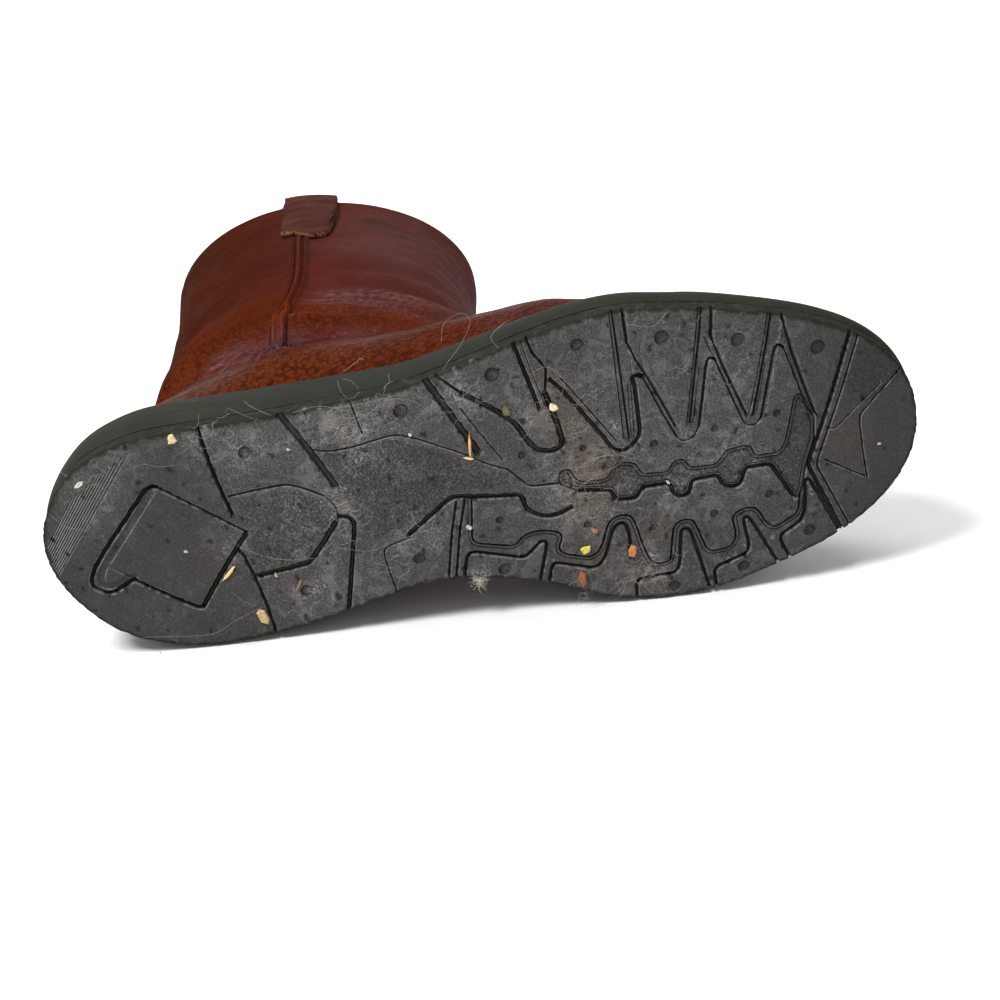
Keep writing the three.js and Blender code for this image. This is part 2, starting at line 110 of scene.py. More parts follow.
TREAD = table(
    "at middle half",
    (0.0, -0.031, 0.333), (0.05, -0.016, 0.364), (0.1, -0.005, 0.366), (0.18, 0.006, 0.377),
    (0.28, -0.003, 0.366), (0.36, -0.03, 0.347), (0.43, -0.05, 0.338), (0.5, -0.056, 0.374),
    (0.56, -0.049, 0.422), (0.62, -0.027, 0.477), (0.68, -0.014, 0.5), (0.74, -0.001, 0.488),
    (0.82, 0.004, 0.461), (0.9, 0.011, 0.457), (0.96, 0.016, 0.468), (1.0, 0.022, 0.487),
)
BAND = table(
    "at rise",
    (0.0, 0.82), (0.12, 0.95), (0.26, 0.96), (0.4, 0.66), (0.52, 0.4), (0.66, 0.13), (0.8, 0.0), (1.0, 0.0),
)
BAND_SECTION = table("at out", (0, 0.1), (0.2, 0.7), (0.5, 1), (0.8, 0.7), (0.94, 0.2), (1, -0.5))
FOOT = table(
    "heel_x heel_z top_x top_z oval outer inner flat",
    (0.0085, 0.36, 0.987, 0.33, 0.45, 1.03, 1.03, 0.35), (0.0095, 0.42, 0.976, 0.42, 0.62, 1.06, 1.03, 0.6),
    (0.0115, 0.475, 0.952, 0.485, 0.72, 1.055, 1, 0.8), (0.0145, 0.525, 0.909, 0.535, 0.78, 1.03, 0.97, 1),
    (0.0185, 0.57, 0.854, 0.575, 0.82, 0.99, 0.93, 1), (0.024, 0.615, 0.795, 0.625, 0.85, 0.95, 0.9, 1),
    (0.03, 0.665, 0.737, 0.69, 0.88, 0.9, 0.86, 1), (0.038, 0.72, 0.682, 0.765, 0.905, 0.84, 0.83, 1),
    (0.047, 0.785, 0.633, 0.86, 0.93, 0.8, 0.81, 1), (0.057, 0.86, 0.594, 0.965, 0.955, 0.82, 0.81, 1),
    (0.067, 0.95, 0.563, 1.085, 0.98, 0.88, 0.83, 1), (0.075, 1.055, 0.544, 1.22, 1, 0.93, 0.86, 1),
)
SHAFT = table(
    "up_back up_front back front outer inner lean",
    (0.094, 0.21, 0.05, -0.02, 0.94, 0.88, 0.3), (0.178, 0.305, 0.054, -0.03, 0.93, 0.9, 0.36),
    (0.278, 0.41, 0.054, -0.033, 0.92, 0.92, 0.44), (0.394, 0.52, 0.05, -0.031, 0.93, 0.94, 0.54),
    (0.522, 0.635, 0.044, -0.025, 0.95, 0.96, 0.65), (0.65, 0.745, 0.034, -0.017, 0.97, 0.975, 0.76),
    (0.778, 0.845, 0.02, -0.009, 0.985, 0.99, 0.87), (0.9, 0.93, 0.009, -0.002, 1, 1, 0.95),
    (1, 1, 0, 0, 1, 1, 1),
)
SEAM = table("at swing", (0, -1), (0.1, -1.1), (0.18, -0.4), (0.34, -0.6), (0.56, 0.1), (1, -0.1))


def cubic(at, value, t):
    """Values at t of a smooth curve through knots, whose slopes come from their neighbours."""
    each = (-1,) + (1,) * (value.ndim - 1)
    slope = np.empty_like(value)
    slope[1:-1] = (value[2:] - value[:-2]) / (at[2:] - at[:-2]).reshape(each)
    slope[[0, -1]] = (value[[1, -1]] - value[[0, -2]]) / (at[[1, -1]] - at[[0, -2]]).reshape(each)
    i = np.clip(np.searchsorted(at, t) - 1, 0, len(at) - 2)
    shape = np.shape(t) + each[1:]
    span = (at[i + 1] - at[i]).reshape(shape)
    s = (t - at[i]).reshape(shape) / span
    rise = value[i + 1] - value[i]
    return value[i] + rise * s * s * (3 - 2 * s) + span * s * (1 - s) * (slope[i] * (1 - s) - slope[i + 1] * s)


def follow(rows, share, column):
    """Smooth value of a table's column at shares of the way."""
    at = rows["at"]
    return cubic(at, rows[column], np.clip(share, at[0], at[-1]))


def lerp(a, b, t):
    return a + (b - a) * t


def unit(vectors):
    return vectors / np.maximum(np.linalg.norm(vectors, axis=-1, keepdims=True), 1e-9)


def fade(value, low, high):
    """0 below low, 1 above high and a soft step between."""
    t = np.clip((value - low) / (high - low), 0, 1)
    return t * t * (3 - 2 * t)


def between(value, rise_from, rise_to, fall_from, fall_to):
    """1 in the middle, with a soft step up before it and down after it."""
    return fade(value, rise_from, rise_to) * (1 - fade(value, fall_from, fall_to))


def hump(distance, width):
    """1 at no distance, and a soft fall to nothing beyond the width."""
    return np.exp(-((distance / width) ** 2))


def spread(flat, spots):
    """Sum of soft spots, each with its place, reach and strength."""
    total = np.zeros(len(flat))
    for x, y, reach, strength in spots:
        total += strength * hump(np.hypot(flat[:, 0] - x, flat[:, 1] - y), reach)
    return total


def round_end(distance, round_length):
    left = np.clip((round_length - distance) / round_length, 0, 1)
    return np.sqrt(1 - left * left)


def spring_height(x):
    return TOE_SPRING * (np.maximum(0, x - SOLE_LENGTH + SPRING_LENGTH) / SPRING_LENGTH) ** 2


def band_height(x):
    return spring_height(x) + TOE_BAND + (HEEL_BAND - TOE_BAND) * follow(BAND, x / SOLE_LENGTH, "rise")


def floor_height(x):
    return band_height(x) - CUP_DEPTH


def tread_middle(x):
    return BALL_WIDTH * follow(TREAD, x / SOLE_LENGTH, "middle")


def tread_half(x):
    return BALL_WIDTH * follow(TREAD, x / SOLE_LENGTH, "half")


def even_turn(count):
    return 2 * np.pi * np.arange(count) / count


def outline_ring(angle, grow, height):
    """The sole's outline grown by a distance, at a height given as a function of x."""
    length = SOLE_LENGTH + 2 * grow
    along = (1 - np.cos(angle)) / 2
    side = np.where(angle < np.pi, OUTER, INNER)
    x = length * along - grow
    half = tread_half(x) + grow
    half = half * round_end(length * along, HEEL_ROUND + grow) * round_end(length * (1 - along), TOE_ROUND + grow)
    return np.stack([x, tread_middle(x) + side * half, height(x)], 1)


def upper_ring(angle, back, front, width, middle, back_round, front_round, height, turn=0.0):
    length = front - back
    pivot = (back + front) / 2
    along = (1 - np.cos(angle)) / 2
    side = np.where(angle < np.pi, OUTER, INNER)
    x = back + length * along
    half = width(x, side) * round_end(length * along, back_round) * round_end(length * (1 - along), front_round)
    y = side * half
    turned_x = pivot + (x - pivot) * math.cos(turn) - y * math.sin(turn)
    turned_y = (x - pivot) * math.sin(turn) + y * math.cos(turn)
    return np.stack([turned_x, turned_y + middle(x), height(along, x)], 1)


def foot_ring(angle, k):
    row = {name: column[k] for name, column in FOOT.items()}
    back, front = row["heel_x"] * SOLE_LENGTH, row["top_x"] * SOLE_LENGTH
    half_length = (front - back) / 2
    heel_z, top_z = row["heel_z"] * INSTEP_HEIGHT, row["top_z"] * INSTEP_HEIGHT
    lift = heel_z - floor_height(np.array(back))
    lean = SHAFT["lean"][0] * COLLAR_LEAN

    def width(x, side):
        half = lerp(tread_half(x) - FOOT_INSET, COLLAR_THICKNESS / 2, row["oval"])
        return half * np.where(side < 0, row["outer"], row["inner"])

    return upper_ring(
        angle, back, front, width,
        middle=lambda x: lerp(tread_middle(x), lean, row["oval"]),
        back_round=lerp(HEEL_ROUND, half_length, row["oval"]),
        front_round=lerp(TOE_ROUND, half_length, row["oval"] ** 2),
        height=lambda along, x: lerp(floor_height(x) + lift, lerp(heel_z, top_z, along), row["flat"]),
    )


def shaft_ring(angle, k):
    row = {name: column[k] for name, column in SHAFT.items()}
    back = COLLAR_SETBACK + row["back"] * COLLAR_LENGTH
    front = COLLAR_SETBACK + (1 + row["front"]) * COLLAR_LENGTH
    back_z = lerp(INSTEP_HEIGHT, SHAFT_HEIGHT, row["up_back"])
    front_z = lerp(INSTEP_HEIGHT, SHAFT_HEIGHT - COLLAR_DIP, row["up_front"])
    return upper_ring(
        angle, back, front,
        width=lambda x, side: COLLAR_THICKNESS / 2 * np.where(side < 0, row["outer"], row["inner"]),
        middle=lambda x: row["lean"] * COLLAR_LEAN,
        back_round=(front - back) / 2,
        front_round=(front - back) / 2,
        height=lambda along, x: lerp(back_z, front_z, along),
        turn=COLLAR_TURN * row["lean"],
    )


def upper_rows(angle, count):
    """The upper's outer surface as count rows of rings, smooth through the rings of the tables."""
    rings = [outline_ring(angle, -FOOT_INSET, lambda x: floor_height(x) + GAP)]
    rings.append(outline_ring(angle, -FOOT_INSET, band_height))
    rings += [foot_ring(angle, k) for k in range(len(FOOT["oval"]))]
    rings += [shaft_ring(angle, k) for k in range(len(SHAFT["lean"]))]
    knots = np.array(rings)
    steps = np.linalg.norm(np.diff(knots, axis=0), axis=2).mean(1)
    at = np.concatenate([[0], np.cumsum(steps)])
    return cubic(at, knots, np.linspace(0, at[-1], count))


def grid_normals(rows):
    """Outward directions of a grid of rings that go round counterclockwise as seen from above."""
    around = np.roll(rows, -1, 1) - np.roll(rows, 1, 1)
    return unit(np.cross(around, np.gradient(rows, axis=0)))


# Meshes

def linked(name, data):
    made = bpy.data.objects.new(name, data)
    bpy.context.scene.collection.objects.link(made)
    return made


def make_object(name, points, faces, materials, face_material=None, smooth=True, sharp=None):
    """A mesh object from points in the boot's frame."""
    laid = lay(points)
    laid[:, 2] = np.maximum(laid[:, 2], 0)
    mesh = bpy.data.meshes.new(name)
    mesh.from_pydata(laid.tolist(), [], [list(map(int, f)) for f in faces])
    mesh.validate()
    for material in materials:
        mesh.materials.append(material)
    if face_material is not None:
        mesh.polygons.foreach_set("material_index", np.asarray(face_material, np.int32))
    mesh.polygons.foreach_set("use_smooth", [smooth] * len(mesh.polygons))
    if sharp is not None:
        mesh.set_sharp_from_angle(angle=math.radians(sharp))
    mesh.update()
    return linked(name, mesh)


def paint(made, **layers):
    """Stores numbers or colours at each vertex, for the material."""
    for name, values in layers.items():
        values = np.asarray(values, float)
        kind = "FLOAT" if values.ndim == 1 else "FLOAT_COLOR"
        layer = made.data.attributes.new(name, kind, "POINT")
        if values.ndim == 1:
            layer.data.foreach_set("value", values)
        else:
            layer.data.foreach_set("color", np.c_[values, np.ones(len(values))].ravel())


def ring_faces(rows, around, closed=False):
    """Quads between rings of a grid; closed joins the last ring to the first."""
    last = rows if closed else rows - 1
    k, i = np.meshgrid(np.arange(last), np.arange(around), indexing="ij")
    k, i = k.ravel(), i.ravel()
    j, m = (i + 1) % around, (k + 1) % rows
    return np.stack([k * around + i, k * around + j, m * around + j, m * around + i], 1)


def sheet_faces(rows, across):
    k, i = np.meshgrid(np.arange(rows - 1), np.arange(across - 1), indexing="ij")
    a = (k * across + i).ravel()
    return np.stack([a, a + 1, a + across + 1, a + across], 1)


def closed_tube(rows, around, start, flip=False):
    """Faces between rings and a cap at each end, from the vertex start on."""
    caps = [list(range(around))[::-1], list(range((rows - 1) * around, rows * around))]
    faces = ring_faces(rows, around).tolist() + caps
    return [[start + v for v in (face[::-1] if flip else face)] for face in faces]


def segment_distance(points, path):
    """Distance to a polyline, its sign (positive on the left) and the share along it, for points in a plane."""
    best = np.full(len(points), 1e9)
    sign = np.zeros(len(points))
    share = np.zeros(len(points))
    lengths = np.linalg.norm(np.diff(path, axis=0), axis=1)
    total = max(lengths.sum(), 1e-9)
    done = 0.0
    for a, b, length in zip(path[:-1], path[1:], lengths):
        run = b - a
        t = np.clip(((points - a) @ run) / max(length * length, 1e-12), 0, 1)
        away = points - a - t[:, None] * run
        distance = np.hypot(away[:, 0], away[:, 1])
        cross = run[0] * away[:, 1] - run[1] * away[:, 0]
        nearer = distance < best
        best = np.where(nearer, distance, best)
        sign = np.where(nearer, np.where(cross >= 0, 1.0, -1.0), sign)
        share = np.where(nearer, (done + t * length) / total, share)
        done += length
    return best, sign, share


def resampled(path, step):
    """Points at even steps along a polyline."""
    path = np.asarray(path, float)
    lengths = np.linalg.norm(np.diff(path, axis=0), axis=1)
    at = np.concatenate([[0], np.cumsum(lengths)])
    count = max(2, int(round(at[-1] / step)) + 1)
    t = np.linspace(0, at[-1], count)
    return np.stack([np.interp(t, at, path[:, c]) for c in range(path.shape[1])], 1)


def rounded(path, radius, closed=False, steps=5):
    """A polyline with its corners rounded off."""
    path = np.asarray(path, float)
    if closed:
        path = np.vstack([path, path[:1]])
    inner = range(1, len(path) - 1)
    out = [] if closed else [path[0]]
    corners = list(inner) + ([0] if closed else [])
    for k in corners:
        before = path[k - 1] if k else path[-2]
        after = path[k + 1]
        corner = path[k]
        reach_in = min(radius, np.linalg.norm(before - corner) / 2)
        reach_out = min(radius, np.linalg.norm(after - corner) / 2)
        start = corner + (before - corner) / np.linalg.norm(before - corner) * reach_in
        end = corner + (after - corner) / np.linalg.norm(after - corner) * reach_out
        for t in np.linspace(0, 1, steps):
            out.append((1 - t) ** 2 * start + 2 * t * (1 - t) * corner + t * t * end)
    out.append(out[0] if closed else path[-1])
    return np.array(out)


def wave(points, size, seed):
    """Soft irregular noise between -1 and 1 made of a few waves of about the given size."""
    draw = np.random.default_rng(seed)
    total = np.zeros(len(points))
    for _ in range(7):
        direction = draw.normal(size=points.shape[1])
        direction /= np.linalg.norm(direction)
        scale = 2 * np.pi / (size * draw.uniform(0.7, 1.6))
        total += np.sin(points @ direction * scale + draw.uniform(0, 2 * np.pi))
    return total / 3.2


# Materials

def srgb(r, g, b):
    """A colour as seen on a screen, 0 to 255, as the shader's linear values."""
    c = np.array([r, g, b]) / 255
    return np.where(c <= 0.04045, c / 12.92, ((c + 0.055) / 1.055) ** 2.4)


class Shader:
    """A material with the Principled shader, whose nodes are added by short calls."""

    def __init__(self, name, **sockets):
        self.material = bpy.data.materials.new(name)
        self.material.use_nodes = True
        self.tree = self.material.node_tree
        self.surface = self.tree.nodes["Principled BSDF"]
        for key, value in sockets.items():
            self.surface.inputs[key.replace("_", " ")].default_value = value

    def node(self, kind, inputs=None, **settings):
        made = self.tree.nodes.new("ShaderNode" + kind)
        for key, value in settings.items():
            setattr(made, key, value)
        for key, value in (inputs or {}).items():
            self.put(made.inputs[key], value)
        return made

    def put(self, socket, value):
        if isinstance(value, bpy.types.NodeSocket):
            self.tree.links.new(value, socket)
        elif isinstance(value, (tuple, list, np.ndarray)):
            values = [float(v) for v in value]
            socket.default_value = values + [1.0] if len(socket.default_value) == 4 else values
        else:
            socket.default_value = value

    def place(self):
        return self.node("TexCoord").outputs["Object"]

    def painted(self, name, output="Fac"):
        return self.node("Attribute", attribute_name=name).outputs[output]

    def noise(self, place, size, detail=3.0, roughness=0.55, distortion=0.0):
        """Noise whose lumps are about size millimetres wide."""
        inputs = {"Vector": place, "Scale": 1000 / size, "Detail": detail, "Roughness": roughness}
        inputs["Distortion"] = distortion
        return self.node("TexNoise", inputs).outputs["Fac"]

    def cells(self, place, size, feature="F1", randomness=1.0):
        inputs = {"Vector": place, "Scale": 1000 / size, "Randomness": randomness}
        return self.node("TexVoronoi", inputs, feature=feature).outputs["Distance"]

    def ramp(self, value, low, high, to_low=0.0, to_high=1.0):
        inputs = {"Value": value, "From Min": low, "From Max": high, "To Min": to_low, "To Max": to_high}
        return self.node("MapRange", inputs, interpolation_type="SMOOTHSTEP").outputs["Result"]

    def math(self, operation, a, b=0.0):
        return self.node("Math", {0: a, 1: b}, operation=operation).outputs[0]

    def times(self, a, b):
        return self.math("MULTIPLY", a, b)

    def plus(self, a, b):
        return self.math("ADD", a, b)

    def mix(self, factor, a, b, blend="MIX"):
        made = self.node("Mix", data_type="RGBA", blend_type=blend)
        for socket, value in ((0, factor), (6, a), (7, b)):
            self.put(made.inputs[socket], value)
        return made.outputs[2]

    def toned(self, colour, by):
        return self.mix(1.0, colour, by, "MULTIPLY")

    def strands(self, place, scale, detail, distortion, level):
        """Thin winding lines, where a noise passes through a level."""
        inputs = {"Vector": place, "Scale": scale, "Detail": detail, "Distortion": distortion}
        off = self.math("SUBTRACT", self.node("TexNoise", inputs).outputs["Fac"], level)
        return self.ramp(self.math("ABSOLUTE", off), 0.0, 0.013, 1.0, 0.0)

    def stretched(self, place, scale):
        return self.node("Mapping", {"Vector": place, "Scale": scale}).outputs[0]

    def bump(self, height, depth, strength=1.0, below=None):
        """Bump of a height between 0 and 1 that stands for depth millimetres."""
        inputs = {"Height": height, "Distance": depth / 1000, "Strength": strength}
        if below is not None:
            inputs["Normal"] = below
        return self.node("Bump", inputs).outputs["Normal"]

    def finish(self, colour=None, roughness=None, normal=None):
        for key, value in (("Base Color", colour), ("Roughness", roughness), ("Normal", normal)):
            if value is not None:
                self.put(self.surface.inputs[key], value)
        return self.material


def leather_material(name, grain_depth=0.45):
    """Oiled pebbled leather: the painted tint, darker between the pebbles, and wrinkled where it folds, with
    painted highlights on the wrinkles.
    """
    s = Shader(name, Specular_IOR_Level=0.02)
    place = s.place()
    s.put(s.surface.inputs["Specular IOR Level"], s.painted("gloss"))
    tint = s.painted("tint", "Color")
    grain = s.painted("grain")
    warp = s.node("TexNoise", {"Vector": place, "Scale": 260.0, "Detail": 2.0}).outputs["Color"]
    bent = s.node("VectorMath", {0: warp, 1: (0.5, 0.5, 0.5)}, operation="SUBTRACT").outputs[0]
    bent = s.node("VectorMath", {0: bent, "Scale": 0.0026}, operation="SCALE").outputs[0]
    bent = s.node("VectorMath", {0: place, 1: bent}, operation="ADD").outputs[0]
    pebbles = s.cells(bent, 1.9)
    dome = s.ramp(pebbles, 0.12, 0.75, 1.0, 0.0)
    fine = s.ramp(s.cells(bent, 0.9, "DISTANCE_TO_EDGE"), 0.0, 0.3)
    pores = s.noise(place, 0.45)
    cloud = s.noise(place, 28, 4.0, 0.6)
    patch = s.noise(place, 7, 3.0, 0.6)
    colour = s.mix(s.ramp(cloud, 0.35, 0.7), tint, s.toned(tint, (0.84, 0.8, 0.78)))
    colour = s.mix(s.ramp(patch, 0.5, 0.75, 0.0, 0.25), colour, s.toned(tint, (1.3, 1.2, 1.1)))
    gaps = s.times(s.ramp(pebbles, 0.4, 0.72), s.math("SUBTRACT", grain, 0.25))
    gaps = s.times(gaps, s.ramp(patch, 0.3, 0.6, 0.8, 1.15))
    colour = s.mix(gaps, colour, s.toned(tint, (0.36, 0.29, 0.29)))
    colour = s.mix(s.ramp(pores, 0.42, 0.66, 0.0, 0.6), colour, s.toned(colour, (0.62, 0.58, 0.56)))
    # Fine wrinkle lines where the leather folds: a bump, and a painted highlight that lightens them.
    lines = s.noise(s.stretched(bent, (0.3, 1.0, 0.7)), 1.7, 2.0, 0.5, 0.6)
    lines = s.times(s.ramp(lines, 0.44, 0.6), s.painted("folds"))
    colour = s.mix(s.times(lines, 0.5), colour, s.toned(tint, (1.7, 1.75, 1.8)))
    low = s.bump(lines, 0.5, 0.8, s.bump(pores, 0.09, 0.8))
    low = s.bump(patch, 0.3, 0.08, s.bump(fine, 0.14, 0.9, low))
    return s.finish(colour, s.ramp(patch, 0.3, 0.7, 0.4, 0.52), s.bump(dome, grain_depth, grain, low))


def raw_edge_material():
    """The cut edge of the leather: rough fibres, lighter than its face."""
    s = Shader("raw_leather_edge", Specular_IOR_Level=0.2)
    place = s.place()
    lumps = s.noise(place, 1.1, 4.0, 0.7)
    colour = s.mix(s.ramp(lumps, 0.35, 0.7), srgb(70, 34, 22), srgb(150, 98, 62))
    return s.finish(colour, 0.9, s.bump(lumps, 0.6, 0.9))


def lining_material():
    """The unlined flesh side of the leather inside the shaft."""
    s = Shader("flesh_side", Specular_IOR_Level=0.15, Sheen_Weight=0.25, Sheen_Roughness=0.5)
    place = s.place()
    nap = s.noise(place, 0.6, 5.0, 0.7)
    cloud = s.noise(place, 16, 3.0)
    colour = s.mix(s.ramp(cloud, 0.3, 0.7), srgb(104, 66, 44), srgb(128, 86, 60))
    colour = s.mix(s.ramp(nap, 0.4, 0.7, 0.0, 0.5), colour, srgb(150, 108, 78))
    return s.finish(colour, 0.95, s.bump(nap, 0.25, 0.7))


def tread_material():
    """Worn rubber with dust, painted shade in its grooves and pits, painted highlights along the grooves' edges,
    and browner where dirt lies.
    """
    s = Shader("tread_rubber", Specular_IOR_Level=0.2)
    place = s.place()
    border, dust = s.painted("border"), s.painted("dust")
    s.put(s.surface.inputs["Specular IOR Level"], s.ramp(border, 0.0, 1.0, 0.22, 0.01))
    crumbs = s.noise(place, 0.55, 4.0, 0.6)
    cloud = s.noise(place, 12, 4.0)
    scratch = s.node("TexNoise", {"Vector": place, "Scale": 90.0, "Detail": 6.0, "Distortion": 2.5})
    scratch = s.ramp(scratch.outputs["Fac"], 0.54, 0.6)
    colour = s.mix(s.ramp(cloud, 0.3, 0.7), srgb(40, 40, 41), srgb(50, 50, 50))
    film = s.times(s.ramp(crumbs, 0.32, 0.78), s.plus(s.times(dust, 0.85), 0.05))
    colour = s.mix(film, colour, srgb(126, 125, 124))
    colour = s.mix(s.times(scratch, s.times(dust, 0.35)), colour, srgb(140, 137, 132))
    hairs = s.math("MAXIMUM", s.strands(place, 130.0, 3.0, 1.2, 0.5), s.strands(place, 210.0, 2.0, 1.6, 0.53))
    hairs = s.times(s.times(hairs, s.ramp(dust, 0.2, 0.9)), s.ramp(cloud, 0.45, 0.6))
    colour = s.mix(s.times(hairs, 0.7), colour, srgb(176, 174, 172))
    specks = s.ramp(s.noise(place, 0.32, 1.0), 0.66, 0.72, 0.0, 0.55)
    colour = s.mix(s.times(specks, s.plus(dust, 0.25)), colour, srgb(190, 188, 184))
    brown = s.times(s.painted("dirt"), s.ramp(crumbs, 0.3, 0.65, 0.2, 1.0))
    colour = s.mix(s.times(brown, 0.6), colour, srgb(98, 80, 62))
    # Painted shade in the deep grooves and painted shadows in the pits.
    colour = s.mix(s.times(s.painted("depth"), 0.7), colour, srgb(19, 18, 19))
    bumps, pebble = s.cells(place, 1.15), s.painted("pebble")
    colour = s.mix(s.times(pebble, s.ramp(bumps, 0.4, 0.75, 0.0, 0.5)), colour, srgb(34, 33, 33))
    # Painted highlight: a pale line along the chamfered edges of the grooves.
    colour = s.mix(s.times(s.painted("rim"), 0.75), colour, srgb(134, 132, 129))
    colour = s.mix(s.times(border, s.ramp(scratch, 0.0, 1.0, 1.0, 0.85)), colour, srgb(40, 41, 36))
    rough = s.bump(cloud, 0.6, 0.2, s.bump(crumbs, 0.4))
    return s.finish(colour, s.ramp(cloud, 0.3, 0.7, 0.62, 0.8), s.bump(bumps, -0.8, pebble, rough))


def band_material():
    """Smooth moulded side of the wedge: grey-green, a little scuffed and dusty."""
    s = Shader("wedge_rubber", Specular_IOR_Level=0.01)
    place = s.place()
    cloud = s.noise(place, 14, 4.0, 0.6)
    fine = s.noise(place, 0.5, 3.0)
    scuff = s.noise(s.stretched(place, (0.25, 1.0, 1.0)), 2.2, 5.0, 0.7)
    colour = s.mix(s.ramp(cloud, 0.3, 0.75), srgb(38, 39, 34), srgb(47, 47, 42))
    colour = s.mix(s.ramp(scuff, 0.6, 0.78, 0.0, 0.3), colour, srgb(94, 93, 84))
    normal = s.bump(scuff, 0.25, 0.3, s.bump(fine, 0.06, 0.5))
    return s.finish(colour, s.ramp(cloud, 0.3, 0.7, 0.5, 0.66), normal)


def board_material():
    """The tan board that the foot stands on."""
    s = Shader("insole_board", Specular_IOR_Level=0.25)
    place = s.place()
    cloud = s.noise(place, 18, 4.0)
    fine = s.noise(place, 0.5, 3.0)
    colour = s.mix(s.ramp(cloud, 0.3, 0.7), srgb(118, 88, 62), srgb(146, 114, 84))
    return s.finish(colour, 0.8, s.bump(fine, 0.12, 0.5))


def thread_material():
    """Dark waxed thread."""
    s = Shader("stitching_thread", Specular_IOR_Level=0.02)
    twist = s.noise(s.place(), 0.4, 2.0)
    colour = s.mix(s.ramp(twist, 0.3, 0.7), srgb(30, 12, 8), srgb(50, 22, 14))
    return s.finish(colour, 0.7, s.bump(twist, 0.1, 0.6))


def litter_material(name, roughness):
    """Small bits that carry their own painted colour."""
    s = Shader(name, Specular_IOR_Level=0.25)
    speck = s.noise(s.place(), 0.8, 3.0)
    tint = s.painted("tint", "Color")
    colour = s.mix(s.ramp(speck, 0.3, 0.7), tint, s.toned(tint, (0.7, 0.68, 0.64)))
    return s.finish(colour, roughness, s.bump(speck, 0.2, 0.5))


def floor_material():
    s = Shader("pale_floor", Specular_IOR_Level=0.1)
    grain = s.noise(s.place(), 60, 3.0)
    colour = s.mix(s.ramp(grain, 0.3, 0.7), (0.86, 0.86, 0.86), (0.88, 0.88, 0.88))
    return s.finish(colour, 0.9)


# Colours of the leather by place on the side view, each spreading softly over its reach
# The mauve spots on the shaft and the plum ones in the hollow above the foot are painted reflections of the sky,
# the greyish brown ones on the foot's top a painted sheen, and the deep red ones painted shade in the troughs of
# creases.
RED_BROWN = srgb(90, 36, 24)
OLIVE = srgb(78, 34, 13)
MAUVE_REFLECTION = srgb(92, 52, 49)
DEEP_RED_SHADE = srgb(90, 34, 25)
ORANGE = srgb(110, 47, 21)
GREYISH_SHEEN = srgb(84, 50, 38)
PLUM_REFLECTION = srgb(98, 56, 58)
# A pale pink painted as highlights on the tops of the fine wrinkles
WRINKLE_HIGHLIGHT = srgb(112, 76, 80)
# Patches on the side view: x, z, width, height, strength and colour. Those in the troughs of the creases above the
# foot are painted shade; the others change the leather's tone.
SMUDGES_AND_SHADE = [
    (124, 248, 9, 7, 0.7, srgb(40, 26, 24)), (136, 238, 5, 9, 0.4, srgb(44, 28, 26)),
    (100, 232, 6, 9, 0.35, srgb(112, 70, 64)), (88, 89, 16, 5, 0.7, srgb(54, 25, 28)),
    (112, 84, 14, 4, 0.7, srgb(56, 26, 26)), (52, 95, 16, 5, 0.4, srgb(70, 38, 34)),
    (28, 265, 12, 16, 0.35, srgb(40, 18, 8)), (36, 130, 8, 30, 0.3, srgb(44, 18, 10)),
    (60, 66, 26, 8, 0.5, srgb(58, 30, 17)), (110, 64, 26, 6, 0.4, srgb(66, 32, 20)),
    (22, 48, 26, 24, 0.8, srgb(44, 28, 19)), (170, 60, 40, 10, 0.5, srgb(54, 37, 34)),
    (60, 72, 30, 6, 0.5, srgb(40, 16, 8)), (110, 70, 26, 5, 0.5, srgb(42, 18, 10)),
    (118, 122, 20, 6, 0.4, srgb(56, 30, 30)),
    (92, 40, 22, 7, 0.3, srgb(96, 56, 32)), (40, 104, 12, 5, 0.35, srgb(112, 52, 26)),
]
# Path of a deep brown line painted along the crease above the foot as its shadow
CREASE_SHADOW_LINE = [(64, 84), (80, 86), (94, 86), (108, 83), (122, 78), (134, 72), (148, 64)]
# Spots of colour: x, z, reach and colour; the mauve, plum, greyish brown and deep red ones are painted reflections,
# sheen and shade.
LEATHER_SPOTS = [
    (30, 240, 38, OLIVE), (40, 170, 26, OLIVE), (70, 200, 26, RED_BROWN), (62, 150, 22, RED_BROWN),
    (92, 250, 22, RED_BROWN), (112, 235, 20, MAUVE_REFLECTION), (140, 230, 26, MAUVE_REFLECTION), (155, 190, 26, MAUVE_REFLECTION),
    (110, 200, 14, MAUVE_REFLECTION), (112, 168, 12, DEEP_RED_SHADE), (128, 145, 16, MAUVE_REFLECTION), (110, 138, 12, RED_BROWN),
    (118, 122, 9, DEEP_RED_SHADE), (60, 118, 14, ORANGE), (48, 96, 12, ORANGE), (104, 103, 9, ORANGE),
    (130, 98, 9, ORANGE), (90, 86, 6, PLUM_REFLECTION), (110, 84, 6, PLUM_REFLECTION), (66, 92, 6, PLUM_REFLECTION), (128, 80, 8, DEEP_RED_SHADE),
    (60, 62, 10, GREYISH_SHEEN), (100, 60, 8, RED_BROWN), (140, 60, 9, GREYISH_SHEEN), (180, 56, 12, RED_BROWN),
    (50, 40, 12, ORANGE), (100, 38, 12, ORANGE), (150, 38, 12, ORANGE), (200, 45, 16, RED_BROWN),
    (250, 50, 30, RED_BROWN), (190, 90, 30, RED_BROWN), (160, 140, 20, RED_BROWN),
]


TINT_SCALE = 0.66


